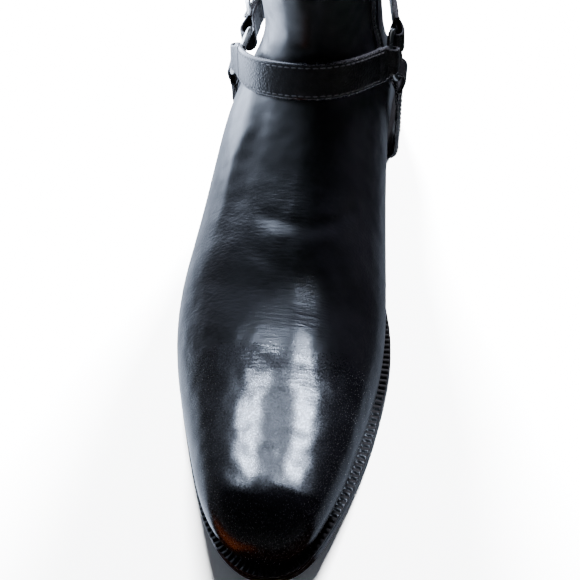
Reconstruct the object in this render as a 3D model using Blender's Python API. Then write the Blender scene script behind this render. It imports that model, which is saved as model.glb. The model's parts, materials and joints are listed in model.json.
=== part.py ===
"""Harness ankle boot for the wearer's right foot: hollow upper with a side zip, welted sole, stacked heel
and three straps on two rings. Metres, +Z up, the toe points along -Y and the inner (medial) side of the foot
along +X."""

import math
from collections import namedtuple

import bmesh
import bpy
import numpy as np
from mathutils import Vector
from mathutils.bvhtree import BVHTree

# Sole and last
SOLE_LENGTH = 0.314
BALL_WIDTH = 0.1015
WELT_EXTENSION = 0.0046
HEEL_EXTENSION = 0.0028
TOE_SPRING = 0.011
HEEL_HEIGHT = 0.024
OUTSOLE_THICKNESS = 0.005
WELT_THICKNESS = 0.003
WELT_STRIP = 0.013
SEAT_GAP = 0.0003

# Upper
INSTEP_RISE = 0.078
COLLAR_HEIGHT = 0.171
COLLAR_DIP = 0.003
ANKLE_WIDTH = 0.060
WALL = 0.002

# Insole
INSOLE_THICKNESS = 0.0025
INSOLE_CLEARANCE = 0.0016

# Heel
HEEL_LENGTH = 0.070
HEEL_LIFTS = 4
TOP_PIECE_THICKNESS = 0.006
HEEL_INSET = 0.0006
HEEL_TAPER = 0.0025
BREAST_HOLLOW = 0.005

# Straps, rings and buckle
STRAP_WIDTH = 0.016
STRAP_THICKNESS = 0.0026
STRAP_FREE_END = 0.006
STRAP_CLEARANCE = 0.0006
RING_RADIUS = 0.011
RING_WIRE = 0.0015
RING_STANDOFF = 0.0050
LOOP_BORE = 0.0028
LOOP_SKIN = 0.0014
LOOP_WIDTH = 0.009
BUCKLE_WIRE = 0.0022
BUCKLE_LENGTH = 0.017
BUCKLE_SEAT = 0.0004
PRONG_WIDTH = 0.0018
KEEPER_LENGTH = 0.007
KEEPER_SKIN = 0.0012

# Zip
ZIP_SLOT = 0.0085
ZIP_TAPE_WIDTH = 0.024
ZIP_TAPE_THICKNESS = 0.0008
ZIP_CHAIN_WIDTH = 0.005
ZIP_CHAIN_THICKNESS = 0.0022
ZIP_CLEARANCE = 0.0004
SLIDER_LENGTH = 0.010
SLIDER_WIDTH = 0.0072
SLIDER_THICKNESS = 0.0046
TAB_LENGTH = 0.020
TAB_WIDTH = 0.008
TAB_THICKNESS = 0.0012
TAB_CORNER = 0.4
TAB_CLEARANCE = 0.0007
BRIDGE_WIDTH = 0.0016
BRIDGE_WIRE = 0.001
BRIDGE_OPENING = 0.005
BRIDGE_RISE = 0.0026
TAPE_TUCK = 0.006
TAPE_DROP = 0.002

# The sole's outline: how far along from the heel, as a share of its length, and each side's reach from the
# line between heel and toe tips, as a share of the ball's width
Reach = namedtuple("Reach", "along medial lateral")
OUTLINE = (
    Reach(0.000, 0.000, 0.000),
    Reach(0.045, 0.272, 0.272),
    Reach(0.100, 0.335, 0.335),
    Reach(0.170, 0.348, 0.352),
    Reach(0.250, 0.325, 0.375),
    Reach(0.330, 0.294, 0.410),
    Reach(0.410, 0.290, 0.455),
    Reach(0.490, 0.325, 0.505),
    Reach(0.570, 0.388, 0.552),
    Reach(0.640, 0.419, 0.576),
    Reach(0.700, 0.412, 0.556),
    Reach(0.760, 0.389, 0.500),
    Reach(0.820, 0.354, 0.432),
    Reach(0.880, 0.300, 0.359),
    Reach(0.935, 0.234, 0.276),
    Reach(0.975, 0.162, 0.176),
    Reach(1.000, 0.000, 0.000),
)

# Where the bottom line leaves the heel's level, reaches the tread and starts to rise to the toe
WAIST_START = 0.24
TREAD_START = 0.56
SPRING_START = 0.70
SPRING_CURVE = 1.8

# Sections of the foot, each across the boot from a point on the feather line up to a point on the ridge.
# ridge: share of the sole's length, up: share of the instep's rise over the feather line, feather: share of
# the length, medial and lateral: widest reach as a share of the ball's width, low: height of the widest place
# as a share of the section, round: 2 is an ellipse over it and more is squarer
Foot = namedtuple("Foot", "ridge up feather medial lateral low round")
FOOT = (
    Foot(0.985, 0.000, 1.000, 0.000, 0.000, 0.30, 2.2),
    Foot(0.983, 0.085, 0.996, 0.066, 0.068, 0.30, 2.2),
    Foot(0.977, 0.160, 0.985, 0.120, 0.135, 0.30, 2.2),
    Foot(0.964, 0.235, 0.966, 0.168, 0.197, 0.30, 2.2),
    Foot(0.942, 0.310, 0.938, 0.214, 0.256, 0.30, 2.2),
    Foot(0.906, 0.395, 0.898, 0.259, 0.317, 0.29, 2.2),
    Foot(0.850, 0.485, 0.844, 0.308, 0.385, 0.28, 2.15),
    Foot(0.776, 0.590, 0.776, 0.352, 0.466, 0.27, 2.1),
    Foot(0.692, 0.700, 0.698, 0.387, 0.533, 0.27, 2.05),
    Foot(0.606, 0.826, 0.612, 0.390, 0.556, 0.28, 2.0),
    Foot(0.520, 0.940, 0.512, 0.366, 0.533, 0.30, 1.95),
    Foot(0.452, 1.020, 0.398, 0.340, 0.492, 0.32, 1.9),
    Foot(0.410, 1.080, 0.270, 0.321, 0.448, 0.34, 1.9),
    Foot(0.388, 1.150, 0.152, 0.311, 0.398, 0.36, 1.9),
    Foot(0.378, 1.232, 0.062, 0.304, 0.346, 0.38, 1.95),
    Foot(0.374, 1.318, 0.015, 0.292, 0.308, 0.41, 2.0),
    Foot(0.3725, 1.404, 0.000, 0.278, 0.286, 0.44, 2.05),
)

# Rings of the shaft over the heel seat. front: share of the sole's length, rise: share of the way from the
# last foot section to the collar, back: share of the sole's length, climb: share of the way from the heel
# seat to the collar's back, medial and lateral: reach as a share of the ankle's width
Shaft = namedtuple("Shaft", "front rise back climb medial lateral low round")
SHAFT = (
    Shaft(0.3728, 0.17, 0.003, 0.115, 0.460, 0.474, 0.46, 2.1),
    Shaft(0.375, 0.33, 0.005, 0.240, 0.458, 0.470, 0.48, 2.1),
    Shaft(0.377, 0.49, 0.015, 0.375, 0.460, 0.470, 0.50, 2.1),
    Shaft(0.3795, 0.63, 0.029, 0.515, 0.468, 0.474, 0.50, 2.1),
    Shaft(0.382, 0.76, 0.035, 0.660, 0.480, 0.482, 0.50, 2.1),
    Shaft(0.384, 0.88, 0.030, 0.820, 0.492, 0.492, 0.50, 2.1),
    Shaft(0.386, 1.00, 0.020, 1.000, 0.505, 0.505, 0.50, 2.1),
)
HEEL_ROW = len(FOOT) - 1
LAST_ROW = len(FOOT) + len(SHAFT) - 1

# Mesh density of the upper, with more steps where the sections stand far apart over the waist
STEPS_PER_ROW = 2
WAIST_STEPS = 4
WAIST_ROWS = (8, 13)
LOW_STEPS = 4
HIGH_STEPS = 9

# The heel's roundness under the widest place, over an ellipse's 2, and the rows where it comes and goes
HEEL_FULLNESS = 0.9
FULL_FROM = (11, 16)
FULL_UNTIL = (18, 23)

# Harness: places along the boot, heights above the floor and how far the rear strap's buckled side stands off
RING_ALONG = 0.080
RING_HEIGHT = 0.084
FRONT_STRAP_RISE = 0.023
FRONT_STRAP_REACH = 0.042
REAR_STRAP_RISE = 0.004
REAR_STRAP_REACH = 0.070
REAR_STANDOFF = 0.0045
UNDER_STRAP_ALONG = 0.081

# How far from the lateral ring the buckle and the keeper sit on the rear strap
BUCKLE_FROM_RING = 0.017
KEEPER_FROM_RING = 0.032

# How far a strap's faceted line may cut a corner
HULL_SLACK = 0.0001

# Zip: where its line stands along the boot, and the height of its foot and of its closed slider
ZIP_ALONG = 0.080
ZIP_FOOT = 0.066
SLIDER_DROP = 0.010


def smooth_curve(knots, values):
    """A natural cubic spline through rows of values at rising knots, as a function of a number or array."""
    knots = np.asarray(knots, float)
    values = np.asarray(values, float)
    step = np.diff(knots)
    matrix = np.eye(len(knots))
    right = np.zeros_like(values)
    for i in range(1, len(knots) - 1):
        matrix[i, i - 1 : i + 2] = (step[i - 1], 2 * (step[i - 1] + step[i]), step[i])
        rise = (values[i + 1] - values[i]) / step[i]
        fall = (values[i] - values[i - 1]) / step[i - 1]
        right[i] = 6 * (rise - fall)
    bend = np.linalg.solve(matrix, right)

    def at(place):
        place = np.clip(np.asarray(place, float), knots[0], knots[-1])
        i = np.clip(np.searchsorted(knots, place, "right") - 1, 0, len(step) - 1)
        width = step[i]
        a = (knots[i + 1] - place) / width
        b = (place - knots[i]) / width
        if values.ndim > 1:
            a, b, width = a[..., None], b[..., None], width[..., None]
        curve = ((a**3 - a) * bend[i] + (b**3 - b) * bend[i + 1]) * width**2 / 6
        return a * values[i] + b * values[i + 1] + curve

    return at


def eased(value, start, end):
    """0 before start, 1 after end and a smooth step between."""
    share = np.clip((np.asarray(value, float) - start) / (end - start), 0, 1)
    return share * share * (3 - 2 * share)


def turn_of(along):
    """The angle share that spaces points round the heel and the toe, so the reach grows evenly with it."""
    return np.arccos(1 - 2 * np.clip(along, 0, 1)) / np.pi


outline_turns = [turn_of(row.along) for row in OUTLINE]
reach_at = smooth_curve(outline_turns, [(row.medial, row.lateral) for row in OUTLINE])


def sole_edge(turn, side):
    """(x, y) of the sole's edge at a turn, 0 at the heel to 1 at the toe; side is 1 medial or -1 lateral."""
    along = (1 - np.cos(np.pi * turn)) / 2
    reach = reach_at(turn)[..., 0 if side > 0 else 1]
    return np.stack([side * reach * BALL_WIDTH, -along * SOLE_LENGTH], axis=-1)


def edge_inward(turn, side):
    """The unit direction that points in from the sole's edge."""
    nudge = 0.001
    ahead = sole_edge(np.clip(turn + nudge, 0, 1), side)
    behind = sole_edge(np.clip(turn - nudge, 0, 1), side)
    run = ahead - behind
    inward = np.stack([side * run[..., 1], -side * run[..., 0]], axis=-1)
    return inward / np.linalg.norm(inward, axis=-1, keepdims=True)


def inset_edge(turn, side, inset):
    """(x, y) of the sole's edge moved in by a distance."""
    turn = np.asarray(turn, float)
    return sole_edge(turn, side) + edge_inward(turn, side) * np.asarray(inset)[..., None]


def extension(turn):
    """How far the welt stands out past the upper: full round the forefoot, less round the heel."""
    along = (1 - np.cos(np.pi * np.asarray(turn, float))) / 2
    return HEEL_EXTENSION + (WELT_EXTENSION - HEEL_EXTENSION) * eased(along, 0.30, 0.60)


def tread_height(y):
    """Height of the outsole's underside: level at the heel, flat at the tread and rising to the toe."""
    along = -np.asarray(y, float) / SOLE_LENGTH
    heel = 1 - eased(along, WAIST_START, TREAD_START)
    spring = np.clip((along - SPRING_START) / (1 - SPRING_START), 0, None) ** SPRING_CURVE
    return HEEL_HEIGHT * heel + TOE_SPRING * spring


def outsole_top(y):
    return tread_height(y) + OUTSOLE_THICKNESS


def welt_top(y):
    return outsole_top(y) + SEAT_GAP + WELT_THICKNESS


def feather_height(y):
    """Height of the upper's lower edge, which stands on the welt."""
    return welt_top(y) + SEAT_GAP


def heel_seat():
    return float(feather_height(0))


def ridge_rows():
    """(y, z) of the vamp's ridge and the shaft's front, a row for each section."""
    rows = []
    for row in FOOT:
        y = -row.ridge * SOLE_LENGTH
        rows.append((y, float(feather_height(y)) + row.up * INSTEP_RISE))
    start = rows[-1][1]
    for row in SHAFT:
        rows.append((-row.front * SOLE_LENGTH, start + row.rise * (COLLAR_HEIGHT - start)))
    return rows


def widest_rows():
    """(medial, lateral, low, round) for each section."""
    rows = [(row.medial * BALL_WIDTH, row.lateral * BALL_WIDTH, row.low, row.round) for row in FOOT]
    rows += [(row.medial * ANKLE_WIDTH, row.lateral * ANKLE_WIDTH, row.low, row.round) for row in SHAFT]
    return rows


def back_rows():
    """(y, z) up the back of the heel, from its foot on the feather line."""
    seat = heel_seat()
    rise = COLLAR_HEIGHT - COLLAR_DIP - seat
    rows = [(-HEEL_EXTENSION, seat)]
    rows += [(-row.back * SOLE_LENGTH, seat + row.climb * rise) for row in SHAFT]
    return rows


ridge_at = smooth_curve(range(LAST_ROW + 1), ridge_rows())
widest_at = smooth_curve(range(LAST_ROW + 1), widest_rows())
feather_at = smooth_curve(range(HEEL_ROW + 1), [turn_of(row.feather) for row in FOOT])
back_at = smooth_curve(range(HEEL_ROW, LAST_ROW + 1), back_rows())


def curve_inward(curve, place, first, last):
    """The unit direction in the (y, z) plane to the inner side of the ridge or of the heel's back."""
    nudge = 0.01
    run = curve(np.clip(place + nudge, first, last)) - curve(np.clip(place - nudge, first, last))
    return np.array([run[1], -run[0]]) / np.linalg.norm(run)


def section_angles(low_steps, high_steps):
    """(side, is_low, angle) of each column, from the medial feather line over the ridge to the other."""
    low = [(True, math.pi / 2 * i / low_steps) for i in range(low_steps)]
    high = [(False, math.pi / 2 * i / high_steps) for i in range(high_steps)]
    one_side = low + high
    columns = [(1, is_low, angle) for is_low, angle in one_side]
    columns.append((1, False, math.pi / 2))
    columns += [(-1, is_low, angle) for is_low, angle in reversed(one_side)]
    return columns


def upper_section(place, depth, columns):
    """Points of one section of the upper, at a depth under its outer face."""
    ridge = ridge_at(place) + curve_inward(ridge_at, place, 0, LAST_ROW) * depth
    medial, lateral, low, roundness = widest_at(place)
    foot_ends = {}
    if place < HEEL_ROW:
        turn = feather_at(place)
        for side in (1, -1):
            x, y = inset_edge(turn, side, extension(turn) + depth)
            foot_ends[side] = (x, y, float(feather_height(y)))
        across = edge_inward(turn, 1)[0] ** 2 if place < HEEL_ROW / 2 else 1
    else:
        back = back_at(place) - curve_inward(back_at, place, HEEL_ROW, LAST_ROW) * depth
        for side in (1, -1):
            foot_ends[side] = (0.0, back[0], back[1])
        across = 1
    fullness = 2 + HEEL_FULLNESS * float(eased(place, *FULL_FROM) * (1 - eased(place, *FULL_UNTIL)))
    points = []
    for side, is_low, angle in columns:
        end_x, end_y, end_z = foot_ends[side]
        wide = (medial if side > 0 else lateral) - depth * across
        wide = max(wide, side * end_x)
        if is_low:
            x = side * end_x + (wide - side * end_x) * math.sin(angle) ** (2 / fullness)
            height = low * (1 - math.cos(angle) ** (2 / fullness))
        else:
            x = wide * max(math.cos(angle), 0) ** (2 / roundness)
            height = low + (1 - low) * math.sin(angle) ** (2 / roundness)
        points.append((side * x, end_y + height * (ridge[0] - end_y), end_z + height * (ridge[1] - end_z)))
    return points


def upper_places():
    """The places of the sections that the mesh is made from, counted in rows of the two tables."""
    places = []
    for row in range(LAST_ROW):
        steps = WAIST_STEPS if WAIST_ROWS[0] <= row < WAIST_ROWS[1] else STEPS_PER_ROW
        places += [row + step / steps for step in range(steps)]
    return places + [LAST_ROW]


def upper_skin(depth, columns):
    """The upper's face at a depth: all its sections, with the first closed to the toe's tip."""
    rows = [upper_section(float(place), depth, columns) for place in upper_places()]
    tip_y = -SOLE_LENGTH + float(extension(1.0)) + depth
    rows[0] = [(0.0, tip_y, float(feather_height(tip_y)))] * len(columns)
    return np.array(rows)


def make_upper_faces(rows, width):
    """Quads over both skins of the upper, and the rims between them at the feather line and the collar."""
    heel = upper_places().index(HEEL_ROW)
    last = width - 1

    def vertex(skin, row, column):
        if row == 0:
            column = 0
        elif row >= heel and column == last:
            column = 0
        return (skin * rows + row) * width + column

    faces = []
    for row in range(rows - 1):
        for column in range(last):
            corners = [(row, column), (row, column + 1), (row + 1, column + 1), (row + 1, column)]
            faces.append([vertex(0, *corner) for corner in corners])
            faces.append([vertex(1, *corner) for corner in reversed(corners)])
    for row in range(heel):
        for column, near, far in ((0, 0, 1), (last, 1, 0)):
            rim = [(near, row), (near, row + 1), (far, row + 1), (far, row)]
            faces.append([vertex(skin, step, column) for skin, step in rim])
    for column in range(last):
        rim = [(0, column), (0, column + 1), (1, column + 1), (1, column)]
        faces.append([vertex(skin, rows - 1, step) for skin, step in rim])
    return faces


def add_object(name, points, faces, material, smooth=True):
    """A mesh object with outward faces, its loose and doubled points removed."""
    mesh = bpy.data.meshes.new(name)
    shape = bmesh.new()
    corners = [shape.verts.new(point) for point in points]
    for face in faces:
        ring = []
        for index in face:
            if corners[index] not in ring:
                ring.append(corners[index])
        if len(ring) > 2:
            shape.faces.new(ring)
    loose = [corner for corner in shape.verts if not corner.link_faces]
    bmesh.ops.delete(shape, geom=loose, context="VERTS")
    bmesh.ops.triangulate(shape, faces=[face for face in shape.faces if len(face.verts) > 4])
    bmesh.ops.recalc_face_normals(shape, faces=shape.faces)
    if shape.calc_volume(signed=True) < 0:
        bmesh.ops.reverse_faces(shape, faces=shape.faces)
    shape.to_mesh(mesh)
    shape.free()
    if smooth:
        mesh.shade_smooth()
        mesh.set_sharp_from_angle(angle=math.radians(40))
    obj = bpy.data.objects.new(name, mesh)
    obj.data.materials.append(material)
    bpy.context.scene.collection.objects.link(obj)
    return obj


def make_material(name, color, roughness, metallic=0.0):
    material = bpy.data.materials.new(name)
    material.use_nodes = True
    shader = material.node_tree.nodes["Principled BSDF"]
    shader.inputs["Base Color"].default_value = (*color, 1)
    shader.inputs["Roughness"].default_value = roughness
    shader.inputs["Metallic"].default_value = metallic
    return material


def combine(target, tools, operation):
    """Applies a Boolean of each tool to the target and removes the tool."""
    for tool in tools:
        modifier = target.modifiers.new(tool.name, "BOOLEAN")
        modifier.operation = operation
        modifier.object = tool
        bpy.context.view_layer.update()
        graph = bpy.context.evaluated_depsgraph_get()
        mesh = bpy.data.meshes.new_from_object(target.evaluated_get(graph))
        target.modifiers.clear()
        target.data = mesh
        bpy.data.objects.remove(tool)
    target.data.shade_smooth()
    target.data.set_sharp_from_angle(angle=math.radians(40))


def make_plate(name, inset, bottom, top, material, rows=40, columns=6):
    """A plate that fills the sole's outline, inset, between two heights that follow the boot's length."""
    points = []
    for height in (bottom, top):
        for row in range(rows + 1):
            turn = row / rows
            medial = inset_edge(turn, 1, inset(turn))
            lateral = inset_edge(turn, -1, inset(turn))
            for column in range(columns + 1):
                x, y = lateral + (medial - lateral) * column / columns
                points.append((x, y, float(height(y))))

    def vertex(layer, row, column):
        if row in (0, rows):
            column = columns // 2
        return (layer * (rows + 1) + row) * (columns + 1) + column

    faces = []
    for layer in (0, 1):
        for row in range(rows):
            for column in range(columns):
                corners = [(row, column), (row, column + 1), (row + 1, column + 1), (row + 1, column)]
                faces.append([vertex(layer, *corner) for corner in corners])
    for row in range(rows):
        for column in (0, columns):
            rim = [(0, row), (0, row + 1), (1, row + 1), (1, row)]
            faces.append([vertex(layer, step, column) for layer, step in rim])
    return add_object(name, points, faces, material)


def make_welt(material, count=64):
    """The welt: a flat strip all round, from the sole's edge in under the upper and the insole."""
    turns = [step / count for step in range(count + 1)]
    loop = [(turn, 1) for turn in turns] + [(turn, -1) for turn in reversed(turns[1:-1])]
    points = []
    for turn, side in loop:
        for inset in (0.0, WELT_STRIP):
            x, y = inset_edge(turn, side, inset)
            if turn in (0, 1):
                x = 0.0
            for height in (outsole_top(y) + SEAT_GAP, welt_top(y)):
                points.append((x, y, float(height)))
    faces = []
    for step in range(len(loop)):
        here, ahead = step * 4, (step + 1) % len(loop) * 4
        for a, b in ((0, 1), (1, 3), (3, 2), (2, 0)):
            faces.append([here + a, here + b, ahead + b, ahead + a])
    return add_object("welt", points, faces, material)


def heel_outline(inset, steps=20):
    """Points round the heel: its edge from the breast's lateral corner to the medial one, and the breast."""
    last = float(turn_of(HEEL_LENGTH / SOLE_LENGTH))
    points = [inset_edge(last * step / steps, -1, inset) for step in range(steps, 0, -1)]
    points += [inset_edge(last * step / steps, 1, inset) for step in range(0, steps + 1)]
    right, left = points[-1], points[0]
    for step in range(1, 6):
        share = step / 6
        x, y = right + (left - right) * share
        points.append(np.array([x, y + BREAST_HOLLOW * 4 * share * (1 - share)]))
    return points


def make_heel_layer(name, low, high, material):
    """One layer of the stacked heel, a little narrower towards the floor."""
    points = []
    for height in (low, high):
        inset = HEEL_INSET + HEEL_TAPER * (1 - height / HEEL_HEIGHT)
        points += [(x, y, height) for x, y in heel_outline(inset)]
    count = len(points) // 2
    faces = [list(range(count)), list(range(count, 2 * count))]
    for step in range(count):
        ahead = (step + 1) % count
        faces.append([step, ahead, count + ahead, count + step])
    return add_object(name, points, faces, material)


def box_points(low, high):
    return [(x, y, z) for x in (low[0], high[0]) for y in (low[1], high[1]) for z in (low[2], high[2])]


BOX_FACES = ((0, 1, 3, 2), (4, 6, 7, 5), (0, 4, 5, 1), (2, 3, 7, 6), (0, 2, 6, 4), (1, 5, 7, 3))


def add_box(name, low, high, material):
    return add_object(name, box_points(low, high), BOX_FACES, material, smooth=False)


def band_faces(count):
    """Faces of a swept four-cornered band with flat ends."""
    faces = [[0, 1, 2, 3], [4 * count - 4 + k for k in (3, 2, 1, 0)]]
    for step in range(count - 1):
        for corner in range(4):
            ahead = (corner + 1) % 4
            low, high = 4 * step, 4 * step + 4
            faces.append([low + corner, high + corner, high + ahead, low + ahead])
    return faces


def make_band(name, middles, outs, sides, width, thickness, material):
    """A strap: a flat band about a middle line, with its face along outs and its width along sides."""
    points = []
    for middle, out, side in zip(middles, outs, sides):
        across, through = side * width / 2, out * thickness / 2
        points += [middle - across - through, middle + across - through]
        points += [middle + across + through, middle - across + through]
    return add_object(name, points, band_faces(len(middles)), material)


def make_tube(name, centre, axis, bore, outer, length, material, sides=12):
    """A short sleeve, the folded end of a strap round its ring."""
    axis = Vector(axis).normalized()
    turn = Vector((0, 0, 1)).rotation_difference(axis)
    points = []
    for radius, along in ((bore, -0.5), (outer, -0.5), (outer, 0.5), (bore, 0.5)):
        for step in range(sides):
            angle = 2 * math.pi * step / sides
            point = Vector((radius * math.cos(angle), radius * math.sin(angle), along * length))
            points.append(Vector(centre) + turn @ point)
    faces = []
    for ring in range(4):
        here, ahead = ring * sides, (ring + 1) % 4 * sides
        for step in range(sides):
            nearby = (step + 1) % sides
            faces.append([here + step, here + nearby, ahead + nearby, ahead + step])
    return add_object(name, points, faces, material)


class Skin:
    """Finds points on a face of the upper by looking along a line."""

    def __init__(self, points):
        rows, width = points.shape[:2]
        corners = [Vector(point) for point in points.reshape(-1, 3)]
        faces = []
        for row in range(rows - 1):
            for column in range(width - 1):
                start = row * width + column
                faces.append((start, start + 1, start + width + 1, start + width))
        self.tree = BVHTree.FromPolygons(corners, faces, epsilon=0.0)

    def reach(self, start, direction):
        """How far the face lies from a point inside it, along a direction."""
        found = self.tree.ray_cast(Vector(start), Vector(direction))
        return found[3]


def unit(vector):
    return Vector(vector).normalized()


def make_prism(name, outline, low, high, frame, material):
    """A solid between two copies of a flat outline. frame is (origin, across, up, through)."""
    origin, across, up, through = frame
    count = len(outline)
    points = []
    for depth in (low, high):
        points += [origin + across * a + up * b + through * depth for a, b in outline]
    faces = [list(range(count)), list(range(count, 2 * count))]
    for step in range(count):
        ahead = (step + 1) % count
        faces.append([step, ahead, count + ahead, count + step])
    return add_object(name, points, faces, material, smooth=False)


def make_frame(name, outline, hole, low, high, frame, material):
    """A flat solid with one hole; the outline and the hole have as many points, side by side."""
    origin, across, up, through = frame
    count = len(outline)
    points = []
    for depth in (low, high):
        for ring in (outline, hole):
            points += [origin + across * a + up * b + through * depth for a, b in ring]
    faces = []
    for step in range(count):
        ahead = (step + 1) % count
        for first, second in ((0, count), (count, 3 * count), (3 * count, 2 * count), (2 * count, 0)):
            faces.append([first + step, first + ahead, second + ahead, second + step])
    return add_object(name, points, faces, material, smooth=False)


def rectangle(left, bottom, right, top):
    return [(left, bottom), (right, bottom), (right, top), (left, top)]


class Ring:
    """Where a ring lies: its middle, the way out from the ankle and the wire's place toward each strap."""

    def __init__(self, skin, side):
        middle = Vector((0, -RING_ALONG, RING_HEIGHT))
        spread = RING_RADIUS + LOOP_BORE + LOOP_SKIN
        places, reaches = [], []
        for up in (-1, -0.5, 0, 0.5, 1):
            for ahead in (-1, -0.5, 0, 0.5, 1):
                if up * up + ahead * ahead > 1.3:
                    continue
                start = middle + Vector((0, ahead, up)) * spread
                places.append((1, ahead * spread, up * spread))
                reaches.append(skin.reach(start, (side, 0, 0)))
        places, reaches = np.array(places), np.array(reaches)
        fit = np.linalg.lstsq(places, reaches, rcond=None)[0]
        proud = float(np.max(reaches - places @ fit))
        self.out = unit((side, -float(fit[1]), -float(fit[2])))
        self.centre = middle + Vector((side * (float(fit[0]) + proud + RING_STANDOFF), 0, 0))

    def toward(self, direction):
        """The direction in the ring's own plane that is nearest to the one given."""
        direction = Vector(direction)
        return unit(direction - self.out * direction.dot(self.out))

    def wire(self, direction, beyond=0.0):
        """The wire's middle in a direction, or a point past it."""
        return self.centre + self.toward(direction) * (RING_RADIUS + beyond)

    def sleeve_axis(self, direction):
        return self.out.cross(self.toward(direction))


def hull_of(points):
    """The convex hull of (x, run) points, counter-clockwise."""
    halves = []
    for ordered in (sorted(points), sorted(points, reverse=True)):
        half = []
        for point in ordered:
            while len(half) > 1:
                (ax, ar), (bx, br) = half[-2], half[-1]
                if (bx - ax) * (point[1] - ar) - (br - ar) * (point[0] - ax) > 0:
                    break
                half.pop()
            half.append(point)
        halves += half[:-1]
    return halves


def taut_chain(obstacles, start, end):
    """The shortest way from start to end round the far side of the obstacles: the part of their convex hull
    between the two. The two ends have the lowest run of all."""
    hull = hull_of({*obstacles, start, end})
    first = hull.index(start)
    hull = hull[first:] + hull[:first]
    last = hull.index(end)
    one_way, other_way = hull[: last + 1], [start] + hull[last:][::-1]
    return max(one_way, other_way, key=lambda way: max(run for _, run in way[1:-1] or [(0, 0)]))


def thinned(chain, slack=HULL_SLACK):
    """The chain with every point dropped that lies within the slack of the line between its neighbours."""
    if len(chain) < 3:
        return chain
    (ax, ay), (bx, by) = chain[0], chain[-1]
    length = math.hypot(bx - ax, by - ay)
    offs = [abs((bx - ax) * (y - ay) - (by - ay) * (x - ax)) / length for x, y in chain[1:-1]]
    worst = max(range(len(offs)), key=offs.__getitem__)
    if offs[worst] < slack:
        return [chain[0], chain[-1]]
    return thinned(chain[: worst + 2], slack)[:-1] + thinned(chain[worst + 1 :], slack)


def strap_line(rings, forward, obstacles, lift):
    """A strap's middle line from the medial ring to the lateral one, drawn taut over the obstacles in the
    plane of +X and forward. lift gives an obstacle's extra clearance at a share of the way."""
    centre = Vector((0, -RING_ALONG, RING_HEIGHT))
    side = Vector((1, 0, 0)).cross(forward)
    ends = [ring.wire(forward, LOOP_BORE + LOOP_SKIN / 2) for ring in rings]
    flat = [(end.x, (end - centre).dot(forward)) for end in ends]
    padded = []
    for point in obstacles:
        x, run = point.x, (point - centre).dot(forward)
        share = 0.5 - math.atan2(x, max(run, 1e-6)) / math.pi
        pad = STRAP_CLEARANCE + HULL_SLACK + STRAP_THICKNESS / 2 + lift(share)
        for step in range(16):
            angle = 2 * math.pi * step / 16
            padded.append((x + pad * math.cos(angle), run + pad * math.sin(angle)))
    beyond = [point for point in padded if point[1] > max(flat[0][1], flat[1][1]) + STRAP_FREE_END]
    line = thinned(taut_chain(beyond, *flat))
    middles = []
    for x, run in line:
        middles.append(centre + Vector((x, 0, 0)) + forward * run)
    middles[0], middles[-1] = ends
    outs = []
    for step in range(len(middles)):
        run = middles[min(step + 1, len(middles) - 1)] - middles[max(step - 1, 0)]
        out = unit(run.cross(side))
        outs.append(out if out.dot(middles[step] - centre) > 0 else -out)
    return middles, outs, [side] * len(middles)


def skin_obstacles(skin, forward, half_turn=100, steps=60):
    """Points of the skin under a strap's whole width."""
    centre = Vector((0, -RING_ALONG, RING_HEIGHT))
    side = Vector((1, 0, 0)).cross(forward)
    points = []
    for step in range(steps + 1):
        angle = math.radians(half_turn * (1 - 2 * step / steps))
        out = Vector((math.sin(angle), 0, 0)) + forward * math.cos(angle)
        for share in (-0.5, -0.33, -0.17, 0, 0.17, 0.33, 0.5):
            start = centre + side * (STRAP_WIDTH * share)
            points.append(start + out * skin.reach(start, out))
    return points


def under_obstacles(skin):
    """What the strap under the waist lies on: the outsole's and the welt's edges, and the upper's sides."""
    points = []
    for share in (-0.5, -0.25, 0, 0.25, 0.5):
        y = -UNDER_STRAP_ALONG + STRAP_WIDTH * share
        turn = float(turn_of(-y / SOLE_LENGTH))
        for side in (1, -1):
            edge = float(sole_edge(turn, side)[0])
            points += [Vector((edge, y, float(tread_height(y)))), Vector((edge, y, float(welt_top(y))))]
            for level in range(6):
                height = float(feather_height(y)) + 0.004 + 0.007 * level
                points.append(Vector((side * skin.reach((0, y, height), (side, 0, 0)), y, height)))
    return points


def make_harness_strap(name, line, rings, direction, material):
    """A strap with its two ends folded round the rings: a band with a sleeve joined on at each end."""
    strap = make_band(name, *line, STRAP_WIDTH, STRAP_THICKNESS, material)
    outer = LOOP_BORE + LOOP_SKIN
    sleeves = []
    for ring in rings:
        centre, axis = ring.wire(direction), ring.sleeve_axis(direction)
        sleeves.append(make_tube(name + "_end", centre, axis, LOOP_BORE, outer, LOOP_WIDTH, material))
    combine(strap, sleeves, "UNION")


def make_ring(name, ring, material, sides=28, wire_sides=8):
    """An O-ring that lies flat against the side of the ankle."""
    up = ring.toward((0, 0, 1))
    ahead = ring.out.cross(up)
    points = []
    for step in range(sides):
        angle = 2 * math.pi * step / sides
        spoke = up * math.sin(angle) + ahead * math.cos(angle)
        for corner in range(wire_sides):
            bend = 2 * math.pi * corner / wire_sides
            radius = RING_RADIUS + RING_WIRE * math.cos(bend)
            points.append(ring.centre + spoke * radius + ring.out * (RING_WIRE * math.sin(bend)))
    faces = []
    for step in range(sides):
        here, ahead_row = step * wire_sides, (step + 1) % sides * wire_sides
        for corner in range(wire_sides):
            nearby = (corner + 1) % wire_sides
            faces.append([here + corner, here + nearby, ahead_row + nearby, ahead_row + corner])
    return add_object(name, points, faces, material)


def strap_frame(line, from_end):
    """(origin, run, side, out) on a strap's middle line, at a distance from its lateral end."""
    middles, outs, sides = line
    step = len(middles) - 1
    while step > 1 and (middles[step - 1] - middles[step]).length < from_end:
        from_end -= (middles[step - 1] - middles[step]).length
        step -= 1
    run = unit(middles[step] - middles[step - 1])
    side = sides[step]
    out = unit(run.cross(side))
    return middles[step] - run * from_end, run, side, out if out.dot(outs[step]) > 0 else -out


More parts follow.
